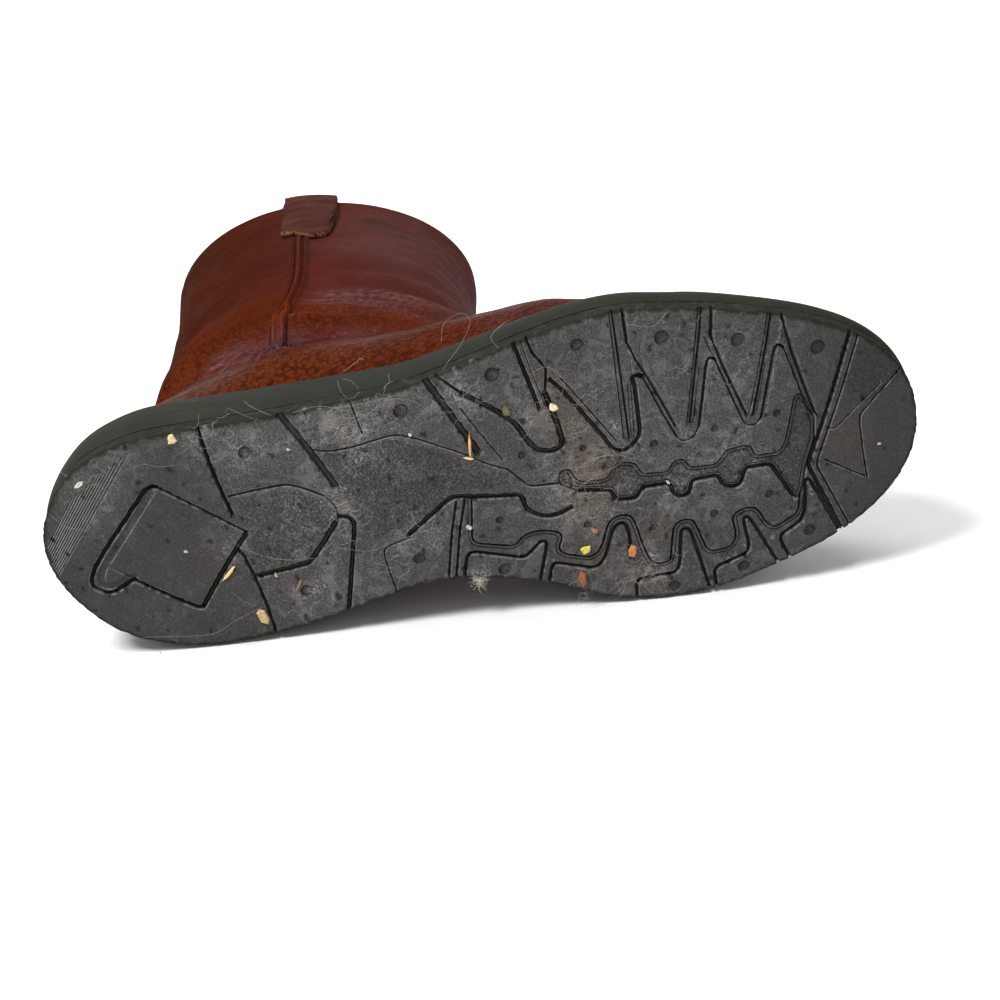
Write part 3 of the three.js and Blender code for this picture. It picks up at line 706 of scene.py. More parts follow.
def leather_tint(points):
    """The leather's colour by place: soft spots, among them painted sky reflections, sheen and shade, smudges and
    painted shade in the troughs, a painted shadow along the crease above the foot and painted highlights on the
    wrinkles.
    """
    x, z = points[:, 0], points[:, 2]
    weight = np.full(len(points), 1e-4)
    tint = RED_BROWN * 1e-4 * np.ones((len(points), 3))
    for spot_x, spot_z, reach, colour in LEATHER_SPOTS:
        near = hump(np.hypot(x - spot_x, z - spot_z), reach * 1.5) + 1e-6
        weight += near
        tint += near[:, None] * colour
    tint = tint / weight[:, None] * TINT_SCALE
    tint *= lerp(0.82, 1.0, fade(x + 2 * np.maximum(110 - z, 0), 70, 104))[:, None]
    # Smudges, and painted shade in the troughs of the creases.
    for spot_x, spot_z, wide, high, strength, colour in SMUDGES_AND_SHADE:
        tint = lerp(tint, colour, (strength * hump(x - spot_x, wide) * hump(z - spot_z, high))[:, None])
    # Painted shadow: a deep brown line along the bottom of the crease above the foot.
    distance, _, share = segment_distance(points[:, [0, 2]], rounded(CREASE_SHADOW_LINE, CREASE_ROUND))
    crease_shadow = 0.6 * hump(distance, 3.2) * between(share, 0, 0.2, 0.85, 1)
    tint = lerp(tint, srgb(34, 14, 9), crease_shadow[:, None])
    # Painted highlights on the tops of the slanted streaks and the fine wrinkles.
    crest_highlight = fade(streak_height(points), 0.15, 0.6) * 0.65
    for height, distance, ends in wrinkles_at(points):
        crest_highlight = np.maximum(crest_highlight, 0.7 * height * hump(distance - 1.3, 0.9) * ends)
    return lerp(tint, WRINKLE_HIGHLIGHT, crest_highlight[:, None])


GLOSS_SPOTS = [
    (88, 88, 9, 0.09), (112, 84, 8, 0.06), (66, 90, 8, 0.06), (48, 93, 8, 0.05), (112, 120, 12, 0.01),
    (134, 116, 12, 0.01), (130, 240, 30, 0.0016), (145, 190, 34, 0.002), (120, 40, 18, 0.02),
    (60, 40, 18, 0.02), (180, 50, 30, 0.012), (230, 55, 40, 0.008), (200, 90, 40, 0.02),
]


def leather_gloss(points):
    """How strongly the leather reflects: most in the hollow above the foot, least on the shaft's back."""
    return 0.0004 + spread(points[:, [0, 2]], GLOSS_SPOTS)


def leather_grain(points):
    """Strength of the pebbles: strong on the foot and in the folds, weak on the shaft."""
    z = points[:, 2]
    foot = 1 - fade(z, 52, 66)
    folds = hump(z - 104, 16) * (1 - fade(points[:, 0], 140, 170))
    return 0.3 + 0.7 * np.maximum(foot, 0.75 * folds)


def leather_folds(points):
    """Where the leather is finely wrinkled, with painted highlights on the wrinkles: the hollow above the foot and
    the front of the ankle.
    """
    x, z = points[:, 0], points[:, 2]
    hollow = hump(z - 98 + 0.12 * x, 6) * between(x, 24, 46, 122, 144)
    ankle = hump(z - 127 + 0.06 * x, 7) * between(x, 88, 104, 140, 160)
    return np.clip(hollow + 0.8 * ankle, 0, 1)


# Creases of the upper on its side view: kind, half width, height, and the path it follows
RIDGE = 1
TROUGH = -1
CREASES = [
    (RIDGE, 3.6, 3.4, [(76, 103), (90, 104), (102, 102), (114, 98), (128, 93), (141, 86), (149, 75)]),
    (TROUGH, 4.0, 4.1, [(78, 89), (92, 89), (108, 86), (122, 81), (134, 75), (145, 66)]),
    (TROUGH, 6.0, 1.2, [(90, 120), (106, 118), (122, 114), (138, 107), (150, 98)]),
    (TROUGH, 4.0, 2.4, [(28, 92), (50, 89), (64, 87), (82, 85)]),
    (TROUGH, 9.0, 4.5, [(2, 84), (14, 90), (30, 98), (46, 98), (58, 94)]),
    (TROUGH, 10.0, 4.0, [(-6, 70), (8, 74), (24, 79), (42, 82), (56, 84)]),
    (TROUGH, 15.0, 5.0, [(186, 56), (208, 54), (236, 50), (262, 44), (284, 38)]),
    (TROUGH, 14.0, 2.0, [(96, 62), (120, 60), (145, 58), (180, 58), (220, 64)]),
    (TROUGH, 9.0, 1.5, [(96, 170), (118, 170), (140, 176), (158, 184)]),
    (RIDGE, 9.0, 1.4, [(98, 150), (120, 149), (142, 154), (160, 160)]),
    (TROUGH, 6.0, 0.9, [(100, 134), (120, 132), (140, 134), (158, 140)]),
    (TROUGH, 12.0, 1.4, [(36, 150), (52, 140), (68, 136)]),
    (RIDGE, 5.0, 1.6, [(34, 106), (48, 109), (62, 112), (76, 116)]),
    (TROUGH, 3.0, 0.8, [(150, 106), (156, 116), (160, 128)]),
    (TROUGH, 3.5, 0.9, [(160, 84), (176, 92), (186, 98)]),
    (RIDGE, 5.0, 0.8, [(166, 76), (182, 84), (196, 88)]),
    (TROUGH, 3.0, 0.7, [(178, 68), (196, 74), (212, 76)]),
]
WRINKLES = [
    (0.55, [(92, 118), (108, 117), (124, 114), (140, 108)]),
    (0.5, [(98, 121), (114, 120), (130, 117), (146, 112)]),
    (0.6, [(96, 125), (112, 124), (128, 122), (144, 118)]),
    (0.45, [(104, 128), (120, 127), (136, 126), (150, 124)]),
    (0.4, [(112, 131), (126, 131), (142, 130)]),
    (0.4, [(122, 112), (134, 107), (144, 100)]),
]


# How far the corners of their paths are rounded off
CREASE_ROUND = 14
WRINKLE_ROUND = 8


def wrinkles_at(points):
    """Each fine wrinkle's height, the points' distance to it and its fading towards its ends."""
    for height, path in WRINKLES:
        distance, _, share = segment_distance(points[:, [0, 2]], rounded(path, WRINKLE_ROUND))
        yield height, distance, between(share, 0.0, 0.2, 0.8, 1.0)


def crease_height(points):
    """How far the creases move each point of the upper outwards."""
    moved = np.zeros(len(points))
    for kind, half, height, path in CREASES:
        distance, _, share = segment_distance(points[:, [0, 2]], rounded(path, CREASE_ROUND))
        moved += kind * height * hump(distance, half) * between(share, 0.0, 0.22, 0.78, 1.0)
    for height, distance, ends in wrinkles_at(points):
        moved -= 1.5 * height * hump(distance, 0.9) * ends
        moved += 0.9 * height * hump(distance - 1.6, 1.0) * ends
    return moved


def streak_height(points):
    """Fine slanted wrinkles in the hollow above the foot."""
    x, z = points[:, 0], points[:, 2]
    hollow = hump(z - 98 + 0.12 * x, 7) * between(x, 34, 46, 124, 142)
    bend = 1.6 * wave(points, 16, 50)
    slanted = np.sin((z - 0.5 * x + bend) * 2 * np.pi / 3.4) * np.clip(0.4 + 0.8 * wave(points, 8, 51), 0, 1)
    crossed = np.sin((z + 0.2 * x - bend) * 2 * np.pi / 4.3) * np.clip(0.4 + 0.8 * wave(points, 9, 52), 0, 1)
    return 0.6 * hollow * (slanted + 0.8 * crossed)


# Grid of the upper, and its gentle unevenness: height, size of the waves and their seed
INNER_SHARE = 0.55
STREAK_SHARE = 0.9
CALM_AT_BAND = (1.5, 12)
CALM_AT_COLLAR = (16, 6)
UNEVEN = ((0.5, 42, 3), (0.25, 17, 5))
ROUND_OUTER = 220
ROUND_INNER = 116
UPPER_ROWS = 236
upper_angle = np.concatenate([
    np.pi * np.arange(ROUND_OUTER) / ROUND_OUTER,
    np.pi + np.pi * np.arange(ROUND_INNER) / ROUND_INNER,
])


def side_share(points):
    """Share of the creases' height: full on the outer side, less on the inner side, which the photo hides."""
    return lerp(INNER_SHARE, 1.0, fade(-points[:, 1], -14, 10))


def displaced(rows):
    """The outer rows with their creases, and the height that was added."""
    flat = rows.reshape(-1, 3)
    normal = grid_normals(rows).reshape(-1, 3)
    height = crease_height(flat) * side_share(flat)
    height += streak_height(flat) * side_share(flat) * STREAK_SHARE
    height += sum(high * wave(flat, size, seed) for high, size, seed in UNEVEN)
    height *= fade(flat[:, 2] - band_height(flat[:, 0]), *CALM_AT_BAND)
    height *= 1 - 0.85 * fade(flat[:, 2], *(SHAFT_HEIGHT - below for below in CALM_AT_COLLAR))
    return (flat + normal * height[:, None]).reshape(rows.shape), height.reshape(rows.shape[:2])


# Every how many rows the lining has one, in the folds and elsewhere, and between which heights the folds lie
LINING_STEP = 12
FOLD_STEP = 3
FOLDS_LOW, FOLDS_HIGH = 55, 135
# Rings of the raw rim: share of the way from the outer to the inner edge, and rise over them
RIM_RINGS = ((0.18, 0.45), (0.5, 0.7), (0.82, 0.45))
RIM_FUZZ = 0.22


def make_upper(leather, edge, lining):
    """The whole leather wall, and its outer surface for the trimmings to lie on."""
    rows = upper_rows(upper_angle, UPPER_ROWS)
    outer, height = displaced(rows)
    level = rows[..., 2].mean(1)
    step = np.where((level > FOLDS_LOW) & (level < FOLDS_HIGH), FOLD_STEP, LINING_STEP)
    pick = [k for k in range(UPPER_ROWS) if k % step[k] == 0 or k == UPPER_ROWS - 1]
    low = np.minimum(height, 0)
    for _ in range(3):
        low[1:-1] = np.minimum(low[1:-1], np.minimum(low[:-2], low[2:]))
    inner = (rows + grid_normals(rows) * (low - LEATHER)[..., None])[pick[::-1]]
    rim = np.array([lerp(outer[-1], inner[0], t) + (0, 0, up) for t, up in RIM_RINGS])
    rim[..., 2] += RIM_FUZZ * wave(rim.reshape(-1, 3), 3.0, 11).reshape(rim.shape[:2])
    stack = np.concatenate([outer, rim, inner])
    around = len(upper_angle)
    row = np.repeat(np.arange(len(stack)), around)
    finish = np.where(row < UPPER_ROWS - 1, 0, np.where(row < UPPER_ROWS + len(rim), 1, 2))
    points = stack.reshape(-1, 3)
    faces = ring_faces(len(stack), around, closed=True)
    made = make_object("upper_leather", points, faces, [leather, edge, lining], finish)
    paint(made, tint=leather_tint(points), grain=leather_grain(points), gloss=leather_gloss(points),
          folds=leather_folds(points))
    return made, BVHTree.FromPolygons(outer.reshape(-1, 3).tolist(), ring_faces(UPPER_ROWS, around).tolist())


def skin_points(surface, x, z, side):
    """Points and outward directions of the upper's surface where the side view shows x and z."""
    reach = 200.0
    found, directions = [], []
    for px, pz in zip(np.ravel(x), np.ravel(z)):
        start = Vector((float(px), side * reach, float(pz)))
        hit, normal, _, _ = surface.ray_cast(start, Vector((0, -side, 0)))
        if hit is None:
            hit, normal, _, _ = surface.find_nearest(Vector((float(px), side * 30.0, float(pz))))
        if normal.y * side < 0:
            normal = -normal
        found.append(hit)
        directions.append(normal)
    shape = (*np.shape(z), 3)
    return np.reshape(found, shape), np.reshape(directions, shape)


def smoothed(grid, times):
    """A grid of directions or points averaged with its neighbours along both ways."""
    for _ in range(times):
        inner = grid.copy()
        inner[1:-1] = (grid[:-2] + 2 * grid[1:-1] + grid[2:]) / 4
        grid = inner.copy()
        grid[:, 1:-1] = (inner[:, :-2] + 2 * inner[:, 1:-1] + inner[:, 2:]) / 4
    return grid


# Side seams

SEAM_ROWS = 330
SEAM_ACROSS = 45
STITCH_OFFSET = 3.3
STITCH_PITCH = 2.7
STITCH_RADIUS = 0.3
BEAD_GROOVE = 1.75
seam_across = np.linspace(-SEAM_HALF, SEAM_HALF, SEAM_ACROSS)


def seam_line(z):
    share = (z - SEAM_FOOT) / (SEAM_TOP - SEAM_FOOT)
    return TAB_MIDDLE + SEAM_SWING * follow(SEAM, share, "swing")


def seam_split(z):
    """How far the bead's two halves part where the strip crosses the fold."""
    return 1.7 * between(z, 84, 94, 108, 119)


def seam_profile(across, low, split):
    """Height of the seam's strip above the leather: two folded edges, a bead and a stitched groove each side."""
    away = np.abs(across)
    strip = SEAM_THICKNESS * (1 - fade(away, SEAM_HALF - 2.0, SEAM_HALF))
    bead = (BEAD_HEIGHT + 0.35) * hump(away - split, 0.7)
    groove = 0.5 * hump(away - split - BEAD_GROOVE, 0.5)
    stitch = 0.35 * hump(away - STITCH_OFFSET, 0.36)
    fold = 0.12 * hump(away - 2.5, 0.5)
    return (strip + fold - stitch) * (1 - 0.85 * low) + bead * (1 - 0.6 * low) - groove * (1 - 0.9 * low)


def make_seam(name, surface, side, leather, edge):
    """The strip over the side seam, and its top sheet for the stitches."""
    z = np.linspace(SEAM_FOOT, SEAM_TOP, SEAM_ROWS)
    grid_x = seam_line(z)[:, None] + seam_across
    grid_z = np.repeat(z[:, None], SEAM_ACROSS, 1)
    base, normal = skin_points(surface, grid_x, grid_z, side)
    normal = unit(smoothed(normal, 3))
    low = (1 - fade(z, 62, 84))[:, None]
    split = seam_split(z)[:, None]
    height = seam_profile(seam_across + 0 * grid_z, low, split)
    height = height + 0.12 * wave(np.c_[grid_x.ravel(), grid_z.ravel()], 6, 2).reshape(grid_x.shape)
    top = base + normal * (np.maximum(height, 0.06) + 0.05)[..., None]
    points = np.concatenate([top.reshape(-1, 3), (base - normal * 0.25).reshape(-1, 3)])
    faces, finish = strip_faces(SEAM_ROWS, SEAM_ACROSS)
    if side > 0:
        faces = faces[:, ::-1]
    made = make_object(name, points, faces, [leather, edge], finish)

    def on_both(values):
        """Values of the top sheet's grid, given to the under sheet too."""
        return np.tile(np.broadcast_to(values, grid_x.shape).ravel(), 2)

    # Painted highlight along the bead, and painted shade in the grooves beside it.
    bead_highlight = on_both(hump(np.abs(seam_across) - split, 0.6) * lerp(0.5, 0.4, low))
    hollow = on_both(hump(np.abs(seam_across) - split - BEAD_GROOVE, 0.5) * (1 - low))
    tint = leather_tint(points) * (1 + bead_highlight[:, None] * np.array([1.0, 0.9, 0.8])) * (1 - 0.5 * hollow[:, None])
    paint(made, tint=tint, grain=lerp(0.35, 1.0, on_both(low)) * leather_grain(points),
          gloss=leather_gloss(points), folds=leather_folds(points))
    return made, top


def strip_faces(rows, across):
    """Faces of a closed flat strip: the top sheet, the bottom sheet and the four edges, with their finishes."""
    top = sheet_faces(rows, across)
    shift = rows * across
    bottom = top[:, ::-1] + shift
    k = np.arange(rows - 1)
    left = np.stack([k * across, (k + 1) * across, (k + 1) * across + shift, k * across + shift], 1)
    right_edge = k * across + across - 1
    right = np.stack([right_edge, right_edge + shift, right_edge + across + shift, right_edge + across], 1)
    i = np.arange(across - 1)
    first = np.stack([i, i + shift, i + 1 + shift, i + 1], 1)
    end = (rows - 1) * across + i
    last = np.stack([end, end + 1, end + 1 + shift, end + shift], 1)
    faces = np.concatenate([top, bottom, left, right, first, last])
    finish = np.concatenate([np.zeros(len(top) + len(bottom)), np.ones(len(left) * 2 + len(first) * 2)])
    return faces, finish.astype(int)


# A direction that no path follows, to turn a tube's first ring by
TUBE_HELPER = (0.31, 0.17, 0.93)


def tube_mesh(paths, radius, sides):
    """Points and faces of closed thin tubes along paths, half as thick at their ends."""
    points, faces = [], []
    turn = even_turn(sides)[None, :, None]
    total = 0
    for path in paths:
        run = unit(np.gradient(path, axis=0))
        first = unit(np.cross(run, TUBE_HELPER))
        second = np.cross(run, first)
        size = np.full(len(path), float(radius))
        size[[0, -1]] *= 0.5
        ring = first[:, None] * np.cos(turn) + second[:, None] * np.sin(turn)
        points.append((path[:, None] + ring * size[:, None, None]).reshape(-1, 3))
        faces += closed_tube(len(path), sides, total)
        total += len(path) * sides
    return np.concatenate(points), faces


def make_stitches(name, top, thread):
    """Rows of thread in the seam's two stitched grooves."""
    paths = []
    for offset in (-STITCH_OFFSET, STITCH_OFFSET):
        column = int(np.argmin(np.abs(seam_across - offset)))
        line = resampled(top[SEAM_ROWS // 3:-4, column], STITCH_PITCH / 6)
        paths += [line[start:start + 5] for start in range(0, len(line) - 6, 6)]
    return make_object(name, *tube_mesh(paths, STITCH_RADIUS, 6), [thread])


# Pull tabs

TAB_LIFT_HEEL = 1.6
TAB_LIFT = 0.6
TAB_CROWN = 0.35
TAB_HEEL_TRIM = 4.0
TAB_TOE_SPREAD = 1.6
TAB_RAGGED = 0.22
TAB_ACROSS = 40
TAB_LEAF_ROWS = 60
TAB_LOOP_ROWS = 16
# The tab's cut lower edge: share of its width, from the heel's side, and height
TAB_EDGE = table(
    "at low",
    (0, 228), (0.03, 226), (0.3, 222), (0.6, 215), (0.8, 216.5), (0.91, 222), (0.97, 232), (1, 246),
)


def make_tab(name, surface, side, leather, edge):
    """A strap that comes up outside the wall, loops over the collar and goes down again inside."""
    top_z = SHAFT_HEIGHT - COLLAR_DIP / 2 + 0.4
    rise = np.linspace(0, 1, TAB_LEAF_ROWS) ** 1.3
    width = np.sin(np.linspace(-np.pi / 2, np.pi / 2, TAB_ACROSS)) / 2 + 0.5
    leaf_z = lerp(TAB_LOW, top_z, rise)
    back = TAB_MIDDLE - TAB_WIDTH / 2 + TAB_HEEL_TRIM
    front = TAB_MIDDLE + TAB_WIDTH / 2 + TAB_TOE_SPREAD
    ragged = 0.3 * wave(np.c_[leaf_z, leaf_z], 3.5, 21)
    grid_x = lerp(back + ragged[:, None], front + ragged[::-1, None], width)
    low_z = np.interp(width, TAB_EDGE["at"], TAB_EDGE["low"]) + 0.5 * wave(np.c_[width, width] * 27, 4, 8)
    grid_z = lerp(low_z, top_z, rise[:, None])
    base, normal = skin_points(surface, grid_x, np.minimum(grid_z, SHAFT_HEIGHT - COLLAR_DIP - 1.0), side)
    base[..., 2] = grid_z
    normal = smoothed(normal, 6)
    normal[..., 2] = 0
    normal = unit(normal)
    lift = GAP + 0.3 * np.sin(np.pi * width) + rise[:, None] * (TAB_LIFT + TAB_LIFT_HEEL * (1 - width))
    outer_in = base + normal * lift[..., None]
    outer_out = outer_in + normal * TAB_THICKNESS
    inner_in = (base - normal * (LEATHER + GAP))[::-1]
    inner_out = inner_in - normal[::-1] * TAB_THICKNESS
    middle = (outer_in[-1] + inner_in[0]) / 2
    upward = np.array([0, 0, 1.0])

    def loop(reach, stand):
        half_turn = np.linspace(0, np.pi, TAB_LOOP_ROWS)[1:-1]
        return [middle + reach * math.cos(a) + upward * stand * math.sin(a) for a in half_turn]

    loop_in = loop((outer_in[-1] - inner_in[0]) / 2, TAB_STAND)
    loop_out = loop((outer_out[-1] - inner_out[0]) / 2, TAB_STAND + TAB_THICKNESS)
    outside = np.concatenate([outer_out, loop_out, inner_out])
    inside = np.concatenate([outer_in, loop_in, inner_in])
    rows = len(outside)
    outward = unit(outside - inside)
    from_edge = np.minimum(np.arange(TAB_ACROSS), np.arange(TAB_ACROSS)[::-1])
    crown = TAB_CROWN * (1 - np.minimum(from_edge / 2.0, 1.0) ** 2)
    outside = outside - outward * crown[None, :, None]
    bend = 0.3 * wave(outside.reshape(-1, 3), 14, 4).reshape(rows, TAB_ACROSS)
    outside = outside + outward * bend[..., None]
    faces, finish = strip_faces(rows, TAB_ACROSS)
    if side > 0:
        faces = faces[:, ::-1]
    points = np.concatenate([outside.reshape(-1, 3), inside.reshape(-1, 3)])
    cut = np.zeros((rows, TAB_ACROSS), bool)
    cut[:, [0, -1]] = True
    cut[[0, -1]] = True
    cut = np.tile(cut.ravel(), 2)
    points[cut] += TAB_RAGGED * random.normal(size=(cut.sum(), 3))
    made = make_object(name, points, faces, [leather, edge], finish)
    mottled = np.clip(0.5 + 0.5 * wave(points, 9, 6), 0, 1)
    even = np.ones(len(points))
    paint(made, tint=srgb(64, 34, 29) * lerp(0.86, 1.35, mottled)[:, None], grain=0.35 * even, gloss=0.002 * even)
    return made


# Midsole, insole

SOLE_ROUND = 520
INSOLE_ROUND = 240


def stack_object(name, rings, material):
    """A closed body from rings listed from the bottom outwards and up."""
    angle_count = len(rings[0])
    faces = ring_faces(len(rings), angle_count).tolist()
    last = (len(rings) - 1) * angle_count
    for i in range(angle_count // 2):
        a, b, c, d = i, i + 1, angle_count - i - 1, (angle_count - i) % angle_count
        low = [v for n, v in enumerate((a, d, c, b)) if v not in (a, d, c, b)[:n]]
        if len(low) > 2:
            faces.append(low)
            faces.append([last + v for v in low[::-1]])
    return make_object(name, np.concatenate(rings), faces, [material], sharp=50)


# Rings over the wedge's rim: distance inwards and drop below its edge
RIM_STEPS = ((0.95, 0.0), (1.6, 0.05), (RIM_WALL - 0.3, 0.15), (RIM_WALL, 0.6))


def make_midsole(material):
    """The wedge with the rim that cups the foot of the upper."""
    angle = even_turn(SOLE_ROUND)
    rings = []
    for up in np.concatenate([np.linspace(0, 0.8, 11), np.linspace(0.84, 1, 9)]):
        out = BAND_BULGE * float(follow(BAND_SECTION, up, "out"))
        ring = outline_ring(
            angle, out, lambda x: lerp(spring_height(x) + TREAD_THICKNESS + GAP, band_height(x), up)
        )
        ring[:, 1] += 0.14 * wave(ring, 30, 9)
        rings.append(ring)
    rings += [outline_ring(angle, -inset, lambda x: band_height(x) - drop) for inset, drop in RIM_STEPS]
    rings.append(outline_ring(angle, -RIM_WALL, floor_height))
    return stack_object("midsole_wedge", rings, material)


def make_insole(material):
    """The board that the foot stands on, with rounded edges."""
    angle = even_turn(INSOLE_ROUND)
    inset = FOOT_INSET + LEATHER + GAP
    top = GAP + INSOLE_THICKNESS
    steps = ((0.4, GAP), (0, GAP + 0.5), (0, top - 0.8), (0.25, top - 0.25), (0.9, top), (6, top))
    rings = [outline_ring(angle, -inset - more, lambda x: floor_height(x) + lift) for more, lift in steps]
    return stack_object("insole_board", rings, material)


# Outsole: its pattern in millimetres on the tread, x from the heel's back and y to the inner side

# Kinds of groove: depth, how far its sides slope, and the depth of its middle where it is wide
CUT = (2.4, 0.3, 1.5)
LINE = (1.5, 0.25, 1.5)
FINE = (1.2, 0.2, 1.2)
STEP = (0.75, 0.25, 0.75)
CHAMFER = 0.28
WIDE = 0.85

# Half width, kind and path of each groove
GROOVES = [
    (0.62, CUT, [(43, -22.6), (57, -11), (70, 0.2)]),
    (1.05, CUT, [(69.8, 1.2), (60, 12.5), (49, 26.3)]),
    (0.85, CUT, [(49, 26.4), (47.2, 26.8), (38, 19.6), (27.6, 11.4)]),
    (0.9, CUT, [(27.8, 11.2), (22.5, 13.6), (18, 15.2), (13.6, 12.4), (12.4, 9.6), (15.2, 4.4), (21, -2.4),
                (28, -9.6), (36, -18), (40.4, -22.6), (43.4, -22.4)]),
    (1.4, STEP, [(28.2, 9.6), (18.4, 12.6), (15.8, 9.6), (18, 5), (30, -8), (41.4, -20.6)]),
    (0.35, FINE, [(20.5, 4.5), (26.5, 10)]),
    (0.85, CUT, [(62.2, -46), (62.4, -39), (63.5, -26), (65.4, -14.5), (66.9, -6.9)]),
    (0.75, CUT, [(66.2, 7.3), (67.4, 9.2), (69.4, 19), (71, 29), (72.4, 46)]),
    (0.5, LINE, [(67.7, -14.2), (78, -14.8), (88, -15), (93, -12.4), (100.4, -7.7), (103, -3), (102.7, 1)]),
    (1.2, CUT, [(101.4, 2.8), (96, 9.4), (90.4, 15.4), (88, 16.6), (70.6, 18)]),
    (1.4, CUT, [(89.4, -45), (91, -39.6), (97.4, -27), (104.4, -10.6)]),
    (1.0, CUT, [(103.6, 0.8), (106.4, 1.2), (108, 4), (106, 12), (103, 24), (98.6, 41)]),
    (0.42, LINE, [(98.3, -26.3), (104, -24.4), (112, -24.4), (120, -25.6), (127.5, -26.5), (133, -24.6),
                  (150, -15), (157, -10), (164.2, -6.3)]),
    (0.5, LINE, [(164.2, -6.3), (167.5, -2.5), (170, 1.3), (175, 1.8), (180.8, 2.1)]),
    (0.4, LINE, [(115, -42), (115.8, -36), (117, -28.8)]),
    (0.4, LINE, [(117.9, 36), (117.3, 30), (115.9, 20), (116.2, 16), (119, 14.8), (125.8, 13.4)]),
    (1.05, CUT, [(126, 12), (134, 6.6), (141.7, 1.2), (145, 0.4), (150.4, 1.8), (160, 3.2), (167.6, 4),
                 (168, 9.2), (170, 12), (174, 13.8), (178.3, 14.4), (184, 12.2)]),
    (1.4, CUT, [(139.4, -49), (142, -43), (147, -32), (155, -14.6)]),
    (0.4, LINE, [(151.7, -31.7), (157, -21), (162.8, -10.4)]),
    (0.7, CUT, [(144, -49), (145.2, -45), (153.3, -36.7)]),
    (1.2, CUT, [(153.3, -36.7), (163.3, -28.8), (169.6, -22.5), (173, -14.5), (175.8, -11.2), (181, -10.2),
                (184.6, -12), (184.2, -17), (182.5, -25.8), (181, -32)]),
    (0.6, CUT, [(181, -32), (182.6, -40.8)]),
    (0.9, CUT, [(172, -56), (175, -42), (178.3, -26.5)]),
    (0.3, LINE, [(174.8, -56), (177.6, -40), (180.6, -27)]),
    (0.6, CUT, [(177, -56), (178.4, -48), (182.6, -40.6)]),
    (0.9, CUT, [(183.4, -36.6), (187, -32), (191.3, -25), (199.2, -11.7), (201, -7.5), (205, -5.6), (209.4, -8),
                (211.8, -11.3), (211.9, -30), (210.8, -32.2), (213.2, -33.2), (214.8, -32)]),
    (0.4, LINE, [(187, -36.6), (195, -23.6), (203, -10)]),
    (3.0, STEP, [(208.6, -62), (208.8, -36), (208.8, -10.5)]),
    (0.45, CUT, [(207.2, -62), (207.5, -36), (207.6, -10.4)]),
    (0.28, LINE, [(206.4, -62), (205.9, -36), (205.7, -10.5)]),
    (0.22, LINE, [(210.6, -30), (209.5, -10.6), (208.9, -9.4), (208.4, -10.6), (209.5, -30)]),
    (0.6, CUT, [(210.7, -62), (211, -45)]),
    (0.45, CUT, [(211, -45.4), (213.6, -37.6), (216.6, -31), (220.2, -22), (224.2, -11.3)]),
    (0.38, CUT, [(214.8, -32), (220, -17.5), (224.2, -7.4), (225.6, -5.9), (228.2, -5.8), (231, -7.5),
                 (232.4, -10.5)]),
    (1.5, STEP, [(214, -36), (217.8, -27), (224.6, -8.6)]),
    (2.8, STEP, [(239.8, -58), (236.4, -40), (230.4, -10.5)]),
    (0.6, CUT, [(232.4, -10.5), (237, -31.7), (237.6, -33.9), (239, -34.6), (240.2, -33.5)]),
    (0.45, CUT, [(238.6, -60), (236, -44.6), (232.7, -29), (229.3, -12.2)]),
    (0.28, LINE, [(237.2, -60), (235.3, -47.3), (228, -11.3)]),
    (0.22, LINE, [(234.6, -31.7), (230.2, -11.4), (229.5, -12)]),
    (0.7, CUT, [(241.7, -60), (239.8, -42.7)]),
    (0.3, LINE, [(237.4, -42.3), (239, -36.8)]),
    (0.52, CUT, [(239.7, -42), (242.6, -30.8), (245.3, -23), (249.4, -10.6)]),
    (0.38, CUT, [(240.2, -33.5), (247.2, -10.9), (248.2, -7.6), (250.6, -6.7), (253.2, -7.4), (254.4, -9)]),
    (1.5, STEP, [(240.4, -37), (243.2, -27), (248.8, -9.5)]),
    (2.6, STEP, [(263.4, -50), (260.2, -36), (253.2, -10)]),
    (0.55, CUT, [(254.4, -9), (255.8, -14), (258.8, -25), (261, -33), (262.4, -34.8), (264.2, -33.4)]),
    (0.45, CUT, [(262.4, -52), (258.6, -36), (254.8, -22), (251.6, -10.6)]),
    (0.28, LINE, [(261, -52), (257.2, -36), (253.4, -22), (250.2, -11.4)]),
    (0.22, LINE, [(257.6, -29), (253, -11.5)]),
    (0.65, CUT, [(265.6, -52), (264.8, -43)]),
    (0.5, CUT, [(264.9, -43.4), (266.8, -32), (269.8, -20), (273, -8), (274.4, -5.2)]),
    (0.36, CUT, [(264.2, -33.4), (267.4, -22), (270.8, -9), (272.6, -6)]),
    (1.4, STEP, [(265.2, -38), (268.4, -24), (272.6, -8)]),
    (0.95, CUT, [(291, -41), (288.3, -34.6), (281, -15), (275, 0), (269.6, 12.6), (273, 22), (280.6, 42)]),
    (0.5, LINE, [(291.6, -34), (284.4, -15), (277.6, 1), (272.4, 13), (275.6, 21), (283.6, 41)]),
    (0.45, LINE, [(311, -20.6), (305, -15.8), (297, -8.8), (290, -2.6), (289.4, 0), (290, 12), (291, 22.4)]),
    (0.4, LINE, [(275.8, 12), (283, 17), (290, 21.8)]),
    (0.35, FINE, [(277.4, -0.4), (279.4, 1), (281.6, 0), (290, -6.7), (298, -12.4)]),
]
